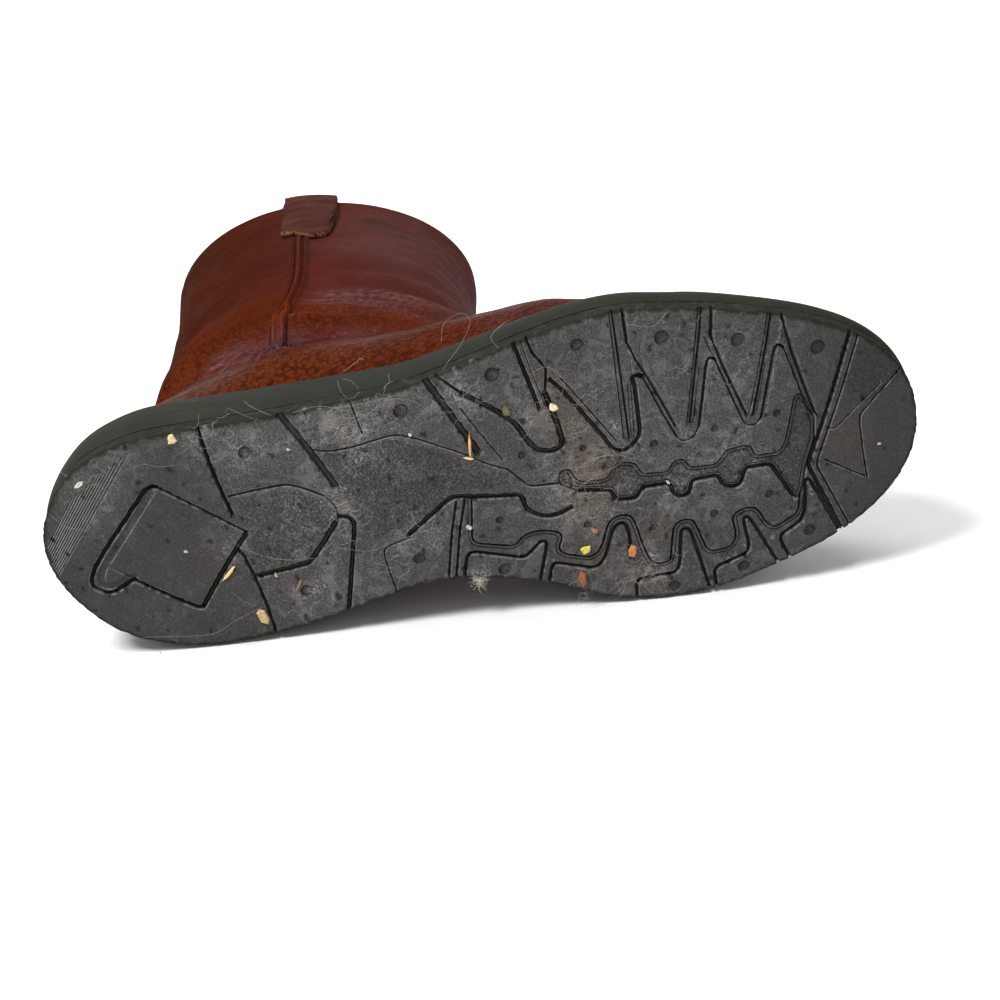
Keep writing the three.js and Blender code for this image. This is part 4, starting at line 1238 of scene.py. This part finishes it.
# The winding groove of the inner side: its two deep edge lines
MEANDER_UPPER = [
    (150.2, 1.4), (147.6, 18), (149, 20), (162.5, 23.6), (165.6, 20), (170.4, 19), (176.4, 20), (180, 22.6),
    (177.4, 27.4), (178.8, 30), (188.8, 33.2), (192.4, 30.6), (196.4, 20.4), (200, 18.3), (205, 19.4),
    (206.2, 24), (208, 34), (210.2, 40.2), (216.6, 40.4), (219.2, 26.4), (222, 24.4), (226.6, 25),
    (230.6, 39), (239, 38.8), (241.4, 35), (240.4, 26.2), (245, 24.2), (249.6, 25), (253, 32.4), (255.4, 34.4),
    (264.4, 30.6), (265.8, 23.2),
]
MEANDER_LOWER = [
    [(142.4, 33), (145, 23.4), (147.5, 23.2), (165, 29), (171.4, 23.4), (174, 24), (168.4, 41)],
    [(171.6, 43), (174.4, 32.6), (189.6, 38), (193.2, 35), (198, 22.6), (202, 21.2), (203.4, 26), (202.6, 36)],
    [(203, 53), (203.6, 45), (217.6, 45.2), (219.8, 43), (221.8, 28), (225, 28.4), (230.4, 57)],
    [(232.4, 54), (231.8, 46), (244.4, 42.4), (245.8, 40), (244.4, 28), (246.4, 28), (256.6, 51)],
    [(260.6, 49), (256.6, 38.4), (265.4, 34.2), (267.4, 29), (268.2, 18.4), (269.4, 17.6), (279.4, 42)],
]
MEANDER_CROSS = [[(147.4, 2.6), (143.6, 15), (139, 35)], [(144.4, 2.6), (140.8, 15), (136.2, 35)]]
# Recessed river along the middle, and the kite at its front end
RIVER = [
    (181, 2.6), (181.8, -2), (185.4, -2.8), (187, 1.7), (189.2, 3.3), (197.5, 3.8), (199.8, 1.8), (200.2, -0.8),
    (204, -1.8), (208.6, -0.4), (210.4, 4), (219.6, 5), (221.8, 1.4), (225.6, 1), (227.5, 4.8), (236.5, 5.4),
    (239, 3.2), (240.6, 0.8), (247.8, 0.2), (250.2, 1.8), (250.8, 5), (259.4, 5.4), (261.8, 2.5), (264.6, -7),
    (266.4, -14), (268.3, -15.4), (270.6, -12.6), (273.2, -5), (272.6, 3), (269, 12), (266.6, 22), (265.4, 24.6),
    (263.4, 24), (256.2, 9.4), (247, 9), (245, 14.6), (242.4, 15.6), (238.4, 14), (237.2, 9.8), (227.7, 9.8),
    (226, 15.4), (221.2, 15.2), (219.8, 9.4), (209.8, 9.4), (207.4, 13.2), (200, 12.4), (199, 8.4), (194.6, 7.6),
    (187, 6.4),
]
RIVER_LIP = RIVER[:-18:-1]
PITS = [
    (76.2, -29.2, 2.5), (86.2, 27, 2.4), (131.4, -34.6, 2.8), (164.2, -42, 2.8), (194.2, -47.5, 2.5),
    (222.9, -45, 2.7), (248.8, -39.2, 2.7), (276.3, -30.7, 2.8), (128, 22, 2.4), (157.3, 32, 2.5),
    (216.8, 50.4, 2.4), (242.9, 47.5, 2.4), (268.2, 38.3, 2.4), (169.8, -10.8, 1.6), (191.3, -9.6, 1.5),
    (216, -6.7, 1.7), (237.7, -8.3, 1.6), (260, -9.6, 1.6), (158.5, 12.3, 1.6), (189, 20, 1.6),
    (212.3, 25.4, 1.6), (234.2, 24.2, 1.7), (254.8, 20.8, 1.7),
]
# Regions with a moulded pebble grain
PEBBLED = [
    [(70, -13), (88, -14), (101, -7), (102, 1), (90, 14), (71, 17)],
    [(100, -25), (127, -26), (150, -14), (164, -6), (166, 1), (145, -1), (126, 11), (110, 12), (106, -8)],
    [(283, -14), (289, -28), (303, -30), (309, -14), (298, -8), (290, -5)],
    RIVER,
]
FINE_GROOVES = 11


def heel_lines():
    """Fine parallel grooves over the heel's outer corner, shorter towards the back."""
    inner_from, inner_to = np.array([2.3, 4.6]), np.array([37.3, -36.2])
    outer_from, outer_to = np.array([1.6, -7.0]), np.array([14.5, -23.5])
    lines = []
    for k in range(FINE_GROOVES):
        t = k / (FINE_GROOVES - 1)
        lines.append([lerp(inner_from, outer_from, t), lerp(inner_to, outer_to, t ** 0.9)])
    return lines


def side_lines(path, offset):
    """The path moved sideways, and which of its points the path's own turns don't come closer to."""
    line = resampled(path, 0.75)
    run = unit(np.gradient(line, axis=0))
    moved = line + np.stack([-run[:, 1], run[:, 0]], 1) * offset
    distance, _, _ = segment_distance(moved, path)
    return moved, distance > abs(offset) - 0.06


def beside(path, offset):
    """The pieces of a line that keeps beside a path."""
    moved, keep = side_lines(path, offset)
    breaks = np.flatnonzero(np.diff(keep.astype(int))) + 1
    pieces = np.split(moved, breaks)
    kept = keep[np.concatenate([[0], breaks])]
    return [piece for piece, stays in zip(pieces, kept) if stays and len(piece) > 3]


def groove_profile(half, kind):
    """Distances from a groove's middle and its depth there."""
    deep, slope, middle = kind
    if half < 0.8:
        deep = deep * min(1.0, 0.75 + 0.4 * half)
    inner = max(half - slope, 0.02)
    lip = 0.2 * min(1.0, deep)
    if half >= WIDE and middle < deep:
        return [0, inner - 0.5, inner - 0.25, inner, half, half + CHAMFER], [middle, middle, deep, deep, lip, 0]
    return [0, inner, half, half + CHAMFER], [deep, deep, lip, 0]


def tread_features():
    """Every groove as its path and profile."""
    features = []

    def add(half, kind, path):
        features.append((path, *map(np.array, groove_profile(half, kind))))

    for half, kind, path in GROOVES:
        add(half, kind, rounded(path, 2.4))
    upper = rounded(MEANDER_UPPER, 2.6)
    add(0.46, CUT, upper)
    for piece in beside(upper, 1.35):
        add(0.25, LINE, piece)
    for path in MEANDER_LOWER:
        add(0.78, CUT, rounded(path, 2.6))
    for path in MEANDER_CROSS:
        add(0.55, CUT, rounded(path, 2.6))
    add(0.9, CUT, rounded(RIVER_LIP, 2))
    river = rounded(RIVER, 1.5, closed=True)
    add(0.42, LINE, river)
    for piece in beside(river, 1.35) + beside(river, -1.35):
        if inside_polygon(piece, river).mean() > 0.5:
            add(0.24, LINE, piece)
    for line in heel_lines():
        add(0.26, FINE, np.array(line))
    return features


def inside_polygon(points, polygon):
    polygon = np.asarray(polygon, float)
    inside = np.zeros(len(points), bool)
    for (x0, y0), (x1, y1) in zip(polygon, np.roll(polygon, -1, 0)):
        crosses = (y0 > points[:, 1]) != (y1 > points[:, 1])
        at = x0 + (points[:, 1] - y0) * (x1 - x0) / (y1 - y0 if y1 != y0 else 1e-12)
        inside ^= crosses & (points[:, 0] < at)
    return inside


def tread_depth(points, features):
    """Depth of the pattern at points of the tread, and the painted shade of its deep grooves and painted shadows of
    its pits.
    """
    depth = np.zeros(len(points))
    for path, away, profile in features:
        low, high = path.min(0) - away[-1] - 1, path.max(0) + away[-1] + 1
        near = np.all((points > low) & (points < high), axis=1)
        if near.any():
            distance, _, _ = segment_distance(points[near], path)
            worn = 1 + 0.07 * wave(points[near], 2.5, 13)
            depth[near] = np.maximum(depth[near], np.interp(distance * worn, away, profile))
    river = np.array(rounded(RIVER, 1.5, closed=True))
    near = np.all((points > river.min(0)) & (points < river.max(0)), axis=1)
    inside = inside_polygon(points[near], river)
    distance, _, _ = segment_distance(points[near], river)
    depth[near] = np.maximum(depth[near], 0.8 * inside * np.clip(distance / 0.3, 0, 1))
    upper = np.array(rounded(MEANDER_UPPER, 2.6))
    near = np.all((points > upper.min(0) - 1) & (points < upper.max(0) + 6), axis=1)
    distance, sign, _ = segment_distance(points[near], upper)
    depth[near] = np.maximum(depth[near], 0.55 * (sign > 0) * np.clip((4.6 - distance) / 0.4, 0, 1))
    # Painted shade in the grooves deeper than 0.8 mm.
    groove_shade = np.clip((depth - 0.8) / 0.5, 0, 1)
    for x, y, radius in PITS:
        distance = np.hypot(points[:, 0] - x, points[:, 1] - y)
        dish = np.clip((radius - distance) / 0.35, 0, 1) * (0.4 + 0.2 * radius)
        # Painted shadow in each pit, strongest in a crescent on one side along its edge.
        shaded = np.clip(0.3 - (points[:, 0] - x + points[:, 1] - y) / (1.4 * radius), 0, 1)
        crescent = (0.2 + 1.1 * shaded) * hump(distance - radius + 0.55, 0.65)
        shadow = np.clip(0.3 + crescent, 0, 1) * np.clip((radius - distance) / 0.2, 0, 1)
        depth = np.maximum(depth, dish)
        groove_shade = np.maximum(groove_shade, shadow)
    return depth, groove_shade


# Points between the lines: their pitch, how far each is shifted, and the cell that a line keeps clear of them
FILL_PITCH = 1.15
FILL_SHIFT = 0.3
FILL_CELL = 0.55
TREAD_ROUND = 1150
# How far inside the tread's border, and inside a pit's, the mesh has a line
EDGE_INSETS = (0.0, 0.3, TREAD_EDGE, 2.0)
PIT_RINGS = (0, 0.35, 0.7, 1.1)
PIT_ROUND = 20
WALL_SHARES = (0.25, 0.6, 1.0)


def border_loops():
    """The frayed border of the tread's face, and lines that keep inside it."""
    angle = even_turn(TREAD_ROUND)
    frayed = 0.16 * wave(outline_ring(angle, 0, spring_height), 2.6, 17)
    centre = np.array([SOLE_LENGTH / 2, 0])
    loops = [outline_ring(angle, -inset, spring_height)[:, :2] for inset in EDGE_INSETS]
    return [loop + unit(loop - centre) * frayed[:, None] for loop in loops]


def pattern_lines(features, loops):
    """Points and edges of every line that the mesh of the tread's face follows."""
    lines = [(loop, np.ones(len(loop), bool), True) for loop in loops]
    for path, away, _ in features:
        for offset in away:
            for signed in (0.0,) if offset < 0.1 else (offset, -offset):
                lines.append((*side_lines(path, signed), False))
    turn = even_turn(PIT_ROUND)
    circle = np.stack([np.cos(turn), np.sin(turn)], 1)
    for x, y, radius in PITS:
        lines += [((x, y) + (radius - inset) * circle, np.ones(PIT_ROUND, bool), True) for inset in PIT_RINGS]
    edges = []
    start = 0
    for line, keep, closed in lines:
        count = len(line)
        pairs = [(i, (i + 1) % count) for i in range(count if closed else count - 1)]
        edges += [(start + a, start + b) for a, b in pairs if keep[a] and keep[b]]
        start += count
    return np.concatenate([line for line, _, _ in lines]), edges


def fill_points(lines, border):
    """A loose grid of points inside the border that keeps clear of the lines."""
    taken = set(map(tuple, np.floor(lines / FILL_CELL).astype(int)))
    grid = np.meshgrid(np.arange(0, SOLE_LENGTH, FILL_PITCH), np.arange(-62, 62, FILL_PITCH))
    fill = np.stack([axis.ravel() for axis in grid], 1)
    fill = fill + random.uniform(-FILL_SHIFT, FILL_SHIFT, fill.shape)
    fill = fill[inside_polygon(fill, border)]
    return np.array([p for p in fill if tuple(np.floor(p / FILL_CELL).astype(int)) not in taken])


def triangulated(points, edges, tolerance):
    """Triangles that follow the edges: points, triangles and which given point each point was."""
    found = delaunay_2d_cdt([Vector(p) for p in points], edges, [], 0, tolerance)
    faces = np.array([f for f in found[2] if len(f) == 3])
    return np.array([tuple(v) for v in found[0]]), faces, np.array([ids[0] if ids else -1 for ids in found[3]])


def border_distance(flat, border):
    fine = np.concatenate([lerp(border, np.roll(border, -1, 0), t) for t in (0, 1 / 3, 2 / 3)])
    tree = KDTree(len(fine))
    for k, (x, y) in enumerate(fine):
        tree.insert((x, y, 0), k)
    tree.balance()
    return np.array([tree.find((x, y, 0))[2] for x, y in flat])


def open_border(faces):
    """The vertices round a sheet of triangles, in order."""
    sides = dict.fromkeys(pair for a, b, c in faces for pair in ((a, b), (b, c), (c, a)))
    following = {a: b for a, b in sides if (b, a) not in sides}
    loop = [next(iter(following))]
    while following[loop[-1]] != loop[0]:
        loop.append(following[loop[-1]])
    return np.array(loop)


def make_outsole(material):
    """The tread: its face with the whole pattern, the side wall up to the wedge, and a flat top."""
    features = tread_features()
    loops = border_loops()
    lines, edges = pattern_lines(features, loops)
    flat, faces, _ = triangulated(np.concatenate([lines, fill_points(lines, loops[3])]), edges, 1e-4)
    faces = faces[inside_polygon(flat[faces].mean(1), loops[0])]
    used = np.unique(faces)
    renumber = np.full(len(flat), -1)
    renumber[used] = np.arange(len(used))
    flat, faces = flat[used], renumber[faces]
    away = border_distance(flat, loops[0])
    depth, groove_shade = tread_depth(flat, features)
    left = np.clip((TREAD_EDGE - away) / TREAD_EDGE, 0, 1)
    corner = TREAD_EDGE * (1 - np.sqrt(1 - left * left))
    lift = np.maximum(depth, corner) + 0.07 * wave(flat, 9, 23) * (depth < 0.05) + 0.12
    base = np.c_[flat, spring_height(flat[:, 0]) + lift]

    loop = open_border(faces)
    count = len(loop)
    levels, added = [loop], [base]
    for share in WALL_SHARES:
        ring = base[loop]
        ring[:, 2] = lerp(ring[:, 2], spring_height(ring[:, 0]) + TREAD_THICKNESS, share)
        levels.append(len(base) + count * (len(levels) - 1) + np.arange(count))
        added.append(ring)
    shape = np.concatenate(added)
    walls = [np.stack([low, high, np.roll(high, -1), np.roll(low, -1)], 1) for low, high in zip(levels, levels[1:])]
    rim = flat[loop]
    cap, cap_faces, origin = triangulated(rim, [(i, (i + 1) % count) for i in range(count)], 1e-6)
    keep = inside_polygon(cap[cap_faces].mean(1), rim) & np.all(origin[cap_faces] >= 0, axis=1)
    cap_faces = levels[-1][origin[cap_faces[keep]]]
    every = faces[:, ::-1].tolist() + np.concatenate(walls).tolist() + cap_faces.tolist()
    made = make_object("outsole_tread", shape, every, [material], sharp=38)

    def with_walls(values, on_walls=0.0):
        return np.concatenate([values, np.full(len(shape) - len(flat), on_walls)])

    pebble = np.zeros(len(flat))
    for region in PEBBLED:
        edge, _, _ = segment_distance(flat, np.array([*region, region[0]], float))
        pebble = np.maximum(pebble, inside_polygon(flat, region) * fade(edge, 0, 1.5))
    paint(
        made,
        # The depth layer holds the painted shade of the grooves and the painted shadows of the pits.
        depth=with_walls(groove_shade),
        # The rim layer marks the grooves' chamfered edges for a painted highlight.
        rim=with_walls(np.clip(1 - np.abs(depth - 0.2) / 0.15, 0, 1)),
        border=with_walls(1 - fade(away, 0.5, 1.5 + 0.8 * wave(flat, 5, 37)), 1.0),
        pebble=with_walls(pebble),
        dust=dust_amount(shape),
        dirt=soft_spots(shape[:, :2], DIRT_SPOTS),
    )
    return made


# Where dust and lint, and where brown dirt, have settled on the tread: x, y, reach and strength
DUST_SPOTS = [
    (115, -36, 16, 0.9), (103, -6, 9, 0.7), (150, -34, 8, 0.8), (185, 4, 12, 0.7), (190, 14, 10, 0.6),
    (130, 13, 9, 0.7), (60, -38, 10, 0.6), (20, -20, 14, 0.4), (66, 5, 8, 0.4), (208, 42, 9, 0.7),
    (215, -40, 16, 0.15), (92, 30, 14, 0.4), (40, 30, 18, 0.12), (226, 5, 14, 0.4), (246, 6, 10, 0.3),
    (85, 0, 12, 0.25), (176, -28, 8, 0.6), (245, -30, 12, 0.35),
    (78, -30, 10, 0.5), (200, -20, 14, 0.4), (148, 36, 6, 0.6), (30, -36, 12, 0.4),
]
DIRT_SPOTS = [
    (186, -22, 8, 0.8), (192, -6, 8, 0.8), (194, 5, 7, 0.9), (190, 14, 7, 0.6), (184, -36, 6, 0.5),
    (214, 26, 6, 0.5), (153, -18, 5, 0.5), (188, 34, 8, 0.5), (56, 10, 12, 0.2), (285, 6, 9, 0.4),
    (84, 24, 6, 0.3), (166, -28, 4, 0.4), (207, 44, 8, 0.4),
]


def soft_spots(flat, spots):
    return np.clip(spread(flat, spots), 0, 1)


def dust_amount(shape):
    ragged = 0.5 + 0.5 * wave(shape, 11, 31)
    film = 0.35 - 0.3 * fade(shape[:, 0], 250, 296) - 0.28 * (1 - fade(shape[:, 0], 45, 85))
    return np.clip(film + soft_spots(shape[:, :2], DUST_SPOTS) * np.clip(0.4 + ragged, 0, 1.2), 0, 1)


# Litter on the tread: x, y, length, width, turn in degrees, colour
CHIPS = [
    (53, -39, 5, 3, 80, srgb(226, 208, 160)), (69, 34, 7.5, 3.4, 72, srgb(206, 176, 128)),
    (60.8, 15, 8, 1.3, -42, srgb(232, 206, 152)), (152.4, -17, 10, 0.9, -82, srgb(236, 190, 130)),
    (151.6, -13.2, 5, 0.9, 20, srgb(238, 214, 170)), (183, -27, 4, 3, 30, srgb(238, 226, 190)),
    (187, 29.5, 4, 3.4, 10, srgb(214, 204, 96)), (191, 22.5, 3, 2.4, 40, srgb(170, 110, 108)),
    (203.5, 33, 6, 3.6, 86, srgb(198, 128, 88)), (184, 41, 6, 3.6, 86, srgb(150, 96, 74)),
    (18, -28, 4, 2, -30, srgb(214, 214, 208)), (167, -28.5, 4, 4, 8, srgb(104, 100, 78)),
    (84, 24, 6, 1.2, -60, srgb(150, 126, 88)), (133, -25.6, 1.6, 1.4, 0, srgb(220, 220, 214)),
    (91, -28, 1.6, 1.2, 20, srgb(206, 206, 200)), (77, 18.8, 2.6, 1.1, 80, srgb(196, 186, 168)),
    (147.4, 13, 2.2, 1.6, 30, srgb(190, 190, 184)), (48, 3.6, 1.8, 1, 30, srgb(190, 190, 184)),
    (296, 10.4, 1.6, 0.9, 10, srgb(200, 200, 196)), (219, 8.6, 2.2, 1.4, 60, srgb(196, 192, 184)),
]
# Long hairs and fibres: points on the tread with how far each stands off it
HAIRS = [
    [(30, -28, 0.3), (36, -31, 1.0), (42, -31.6, 0.8), (47, -30, 1.2), (52, -29.5, 0.5)],
    [(64, 0, 0.3), (67, 5, 0.8), (75, 10.4, 1.0), (83, 13.4, 0.8), (92, 14.6, 0.3)],
    [(25, 34, 0.3), (36, 35.6, 0.9), (50, 37, 1.2), (60, 33, 1.0), (70, 30, 0.4)],
    [(5, -20, 0.3), (10, -14, 1.0), (17, -10.6, 0.4)],
    [(69, -22, 0.3), (69.4, -17, 0.8), (72.6, -10, 0.4)],
    [(60, 22, 0.3), (63, 26, 0.7), (67, 29, 0.6)],
    [(76, 36, 0.3), (80, 33, 0.9), (82.6, 38, 0.4)],
    [(189, -27, 0.4), (193, -26.4, 1.2), (196, -28, 0.6)], [(190, -24, 0.4), (192, -28, 1.0), (195, -30, 0.6)],
    [(108, -29, 0.3), (112, -33, 0.9), (120, -36, 1.2), (128, -40, 1.1), (136, -38, 0.8), (141, -33, 0.4)],
    [(95, -41, 0.5), (104, -42, 1.2), (112, -40, 0.9), (124, -40.6, 1.2), (132, -41, 0.5)],
    [(110, -20, 0.3), (112.4, -16, 0.8), (111, -13, 0.4)],
    [(147, -35, 0.4), (152, -30, 1.2), (158, -27, 0.9), (160, -31, 0.5)],
    [(176, -40, 0.3), (183, -42, 1.1), (188, -36, 0.8), (186, -30, 0.4)],
    [(186, -2, 0.5), (196, -6, 1.4), (206, -4, 0.9), (212, 4, 0.5)],
    [(182, 8, 0.4), (192, 2, 1.3), (203, -2, 0.8), (208, -8, 0.4)],
    [(188, 8, 0.6), (187, 14, 1.6), (192, 17, 1.0), (196, 12, 0.6)],
    [(148, 33, 0.5), (147, 38, 1.3), (149, 41, 0.4)],
    [(238, -30, 0.3), (244, -24, 1.0), (248, -29, 0.5)], [(222, -38, 0.3), (228, -33, 0.8), (232, -36, 0.4)],
    [(212, -52, 0.3), (220, -50, 0.9), (226, -54, 0.4)], [(205, 24, 0.5), (210, 20, 1.4), (214, 27, 0.5)],
    [(118, 20, 0.5), (124, 24, 1.2), (120, 28, 0.4)], [(100, 12, 0.4), (112, 15, 1.1), (122, 12, 0.5)],
]
# Fibres that stand out from the border of the tread: points in the boot's frame
LOOSE = [
    [(148, -47, -1), (150, -50, -2.5), (156, -54, 4), (160, -58.4, 12), (157, -60, 17), (151, -58, 15),
     (149, -54, 8)],
    [(82, -41, 0), (78, -44, -1), (74, -45, 3), (72, -43, 5)], [(88, -41, 0), (82, -45, 1), (79, -46, 6)],
    [(116, -41, -0.5), (113, -45, 0), (112, -48, 4)], [(168, -51, 0), (166, -55, 2), (172, -58, 6), (174, -56, 9)],
    [(28, 38, 0), (30, 42, -1), (29, 45, 1)], [(58, 42, 0), (60, 46, -1), (66, 44, 0)],
    [(50, 42, 0), (51, 46, -0.6)], [(200, 45, 0), (196, 50, -2), (186, 53, -1)],
]
LINT_CLUMPS = [
    (124, -38, 7, 40), (112, -33, 6, 26), (103, -5, 4, 12), (147.6, 34.6, 1.7, 120), (155, -33, 5, 22),
    (190, 6, 7, 34), (186, -2, 5, 22), (206, 42, 6, 44), (126, 13, 5, 20), (118, 24, 4, 14), (186, 44, 4, 16),
    (66, -38, 6, 14), (205, -4, 5, 16), (104, 10, 4, 14), (178, -26, 5, 18), (24, -26, 6, 10), (232, -42, 9, 12),
]
LINT_RADIUS = 0.045
FLOOR_CLEARANCE = 0.2


# Share of each clump's count that is made, and the bends of each fibre
LINT_SHARE = 0.65
LINT_BENDS = 5


def tread_place(x, y, off):
    """A point that stands off the tread's face."""
    return np.array([x, y, float(spring_height(np.array(x))) - off])


def smooth_path(path, steps=9):
    """A soft curve through the points of a hair."""
    path = np.asarray(path, float)
    last = len(path) - 1
    return cubic(np.arange(last + 1.0), path, np.linspace(0, last, steps * last + 1))


def make_lint(material):
    """Long hairs, fibres that stand out from the border, and clumps of curled lint."""
    paths = [smooth_path([tread_place(*p) for p in hair]) for hair in HAIRS]
    paths += [smooth_path(loose) for loose in LOOSE]
    for x, y, reach, count in LINT_CLUMPS:
        for _ in range(int(count * LINT_SHARE)):
            line = [np.array([x, y]) + random.normal(size=2) * reach * 0.7]
            turn = random.uniform(0, 2 * np.pi)
            bend = random.normal(scale=0.55, size=LINT_BENDS).cumsum()
            run = random.uniform(0.3, 1.0) * min(1.9, 0.4 * reach)
            for a in turn + bend:
                line.append(line[-1] + run * np.array([math.cos(a), math.sin(a)]))
            off = 0.1 + np.abs(random.normal(scale=0.25, size=LINT_BENDS + 1))
            paths.append(smooth_path([tread_place(*p, o) for p, o in zip(line, off)], 3))
    points, faces = tube_mesh(paths, LINT_RADIUS, 4)
    under = lay(points)[:, 2] * 1000 - FLOOR_CLEARANCE
    points = points - np.minimum(under, 0)[:, None] * FLOOR_UP
    made = make_object("lint_and_hairs", points, faces, [material])
    shade = 0.8 + 0.2 * wave(points, 20, 41)
    shade += 0.9 * soft_spots(points[:, :2], [(147.6, 34.6, 4, 1), (103, -5, 3, 0.6)])
    paint(made, tint=shade[:, None] * srgb(176, 172, 164))
    return made


CHIP_SIDES = 6


def make_chips(material):
    """Flat splinters and crumbs with ragged outlines."""
    points, faces = [], []
    for k, (x, y, length, width, turn, _) in enumerate(CHIPS):
        angle = even_turn(CHIP_SIDES) + random.uniform(-0.2, 0.2, CHIP_SIDES)
        reach = random.uniform(0.6, 1.25, CHIP_SIDES)
        flat = np.stack([np.cos(angle) * reach * length / 2, np.sin(angle) * reach * width / 2], 1)
        a = math.radians(turn)
        flat = flat @ np.array([[math.cos(a), math.sin(a)], [-math.sin(a), math.cos(a)]]) + (x, y)
        thickness = min(1.2, 0.25 + 0.25 * width)
        middle = flat.mean(0)
        for scale, off in ((0.9, -0.05), (1.0, 0.4 * thickness), (0.75, thickness)):
            tilt = 0.15 * random.normal(size=CHIP_SIDES)
            points += [tread_place(*p, off + t) for p, t in zip(middle + (flat - middle) * scale, tilt)]
        faces += closed_tube(3, CHIP_SIDES, 3 * CHIP_SIDES * k, flip=True)
    made = make_object("chips_and_straws", points, faces, [material], smooth=False)
    paint(made, tint=np.repeat([chip[5] for chip in CHIPS], 3 * CHIP_SIDES, 0))
    return made


# The camera's angle to the boot, and the pixel frame of 1000 by 1000 that it was set in
VIEW_TILT = 0.4363323
VIEW_ROLL = -0.1692969
VIEW_DISTANCE = 577
VIEW_TARGET = np.array([159.7, 4.5, 0])
FOCAL_PIXELS = 1643
FRAME_PIXELS = 1000
SENSOR = 36


def make_camera():
    forward = np.array([0, math.sin(VIEW_TILT), math.cos(VIEW_TILT)])
    right = np.array([1.0, 0, 0])
    up = np.cross(right, forward)
    turned_right = math.cos(VIEW_ROLL) * right + math.sin(VIEW_ROLL) * up
    turned_up = -math.sin(VIEW_ROLL) * right + math.cos(VIEW_ROLL) * up
    data = bpy.data.cameras.new("camera")
    data.sensor_width = SENSOR
    data.lens = FOCAL_PIXELS * SENSOR / FRAME_PIXELS
    data.clip_start = 0.05
    data.clip_end = 20
    camera = linked("camera", data)
    place = np.eye(4)
    place[:3, :3] = np.stack([LYING @ turned_right, LYING @ turned_up, -LYING @ forward], 1)
    place[:3, 3] = lay(VIEW_TARGET - VIEW_DISTANCE * forward)
    camera.matrix_world = Matrix(place.tolist())
    bpy.context.scene.camera = camera


# The floor and the wall behind it: half width, depth at which the wall stands, its height and the bend's radius
STAGE_REACH, STAGE_BACK, STAGE_HIGH, STAGE_BEND = 3.0, 2.2, 3.0, 0.8


def make_stage():
    """A pale floor that bends up into a wall at the back."""
    reach, bend = STAGE_REACH, STAGE_BEND
    start = STAGE_BACK - bend
    profile = [(-reach, 0.0), (start, 0.0)]
    profile += [(start + bend * math.sin(a), bend - bend * math.cos(a)) for a in np.linspace(0.1, np.pi / 2, 12)]
    profile.append((STAGE_BACK, STAGE_HIGH))
    vertices = [(x, y, z) for y, z in profile for x in (-reach, reach)]
    faces = [(2 * k, 2 * k + 1, 2 * k + 3, 2 * k + 2) for k in range(len(profile) - 1)]
    mesh = bpy.data.meshes.new("floor")
    mesh.from_pydata(vertices, [], faces)
    mesh.polygons.foreach_set("use_smooth", [True] * len(faces))
    mesh.materials.append(floor_material())
    floor = linked("floor", mesh)


# Name, power, size, place, target and colour of each soft light
AREA_LIGHTS = [
    ("key", 46, 0.6, (-0.9, -0.8, 1.7), (0, 0, 0.05), (1.0, 0.99, 0.97)),
    ("fill", 3, 1.4, (1.4, -1.4, 0.7), (0, 0, 0.05), (1, 1, 1)),
    ("wall", 60, 1.6, (0, 0.9, 2.3), (0, 2.2, 1.0), (1, 1, 1)),
]
SKY_STRENGTH = 0.38


def make_lights():
    world = bpy.data.worlds.new("sky")
    world.use_nodes = True
    background = world.node_tree.nodes["Background"]
    background.inputs["Color"].default_value = (1.0, 1.0, 1.0, 1.0)
    background.inputs["Strength"].default_value = SKY_STRENGTH
    bpy.context.scene.world = world
    for name, power, size, place, target, colour in AREA_LIGHTS:
        data = bpy.data.lights.new(name, "AREA")
        data.energy = power
        data.size = size
        data.color = colour
        light = linked(name, data)
        light.location = place
        light.rotation_mode = "QUATERNION"
        light.rotation_quaternion = (Vector(target) - Vector(place)).to_track_quat("-Z", "Y")
    bpy.context.scene.view_settings.view_transform = "Standard"


make_camera()
make_stage()
make_lights()

leather = leather_material("pebbled_leather")
trim = leather_material("trim_leather", 0.35)
edge = raw_edge_material()
thread = thread_material()

upper, skin = make_upper(leather, edge, lining_material())
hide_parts("upper")
pieces = [upper]
for side, word in ((OUTER, "outer"), (INNER, "inner")):
    seam, seam_top = make_seam("side_seam_strip_" + word, skin, side, trim, edge)
    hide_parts("side_seam_" + word)
    stitches = make_stitches("seam_stitches_" + word, seam_top, thread)
    tab = make_tab("pull_strap_" + word, skin, side, trim, edge)
    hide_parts("pull_tab_" + word)
    for piece in (seam, stitches, tab):
        pieces.append(piece)
midsole = make_midsole(band_material())
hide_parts("midsole")
insole = make_insole(board_material())
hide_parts("insole")
outsole = make_outsole(tread_material())
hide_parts("outsole")
pieces += [midsole, insole, outsole]
pieces.append(make_lint(litter_material("grey_lint", 0.9)))
pieces.append(make_chips(litter_material("dry_chips", 0.8)))
for piece in pieces:
    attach(piece, "root")
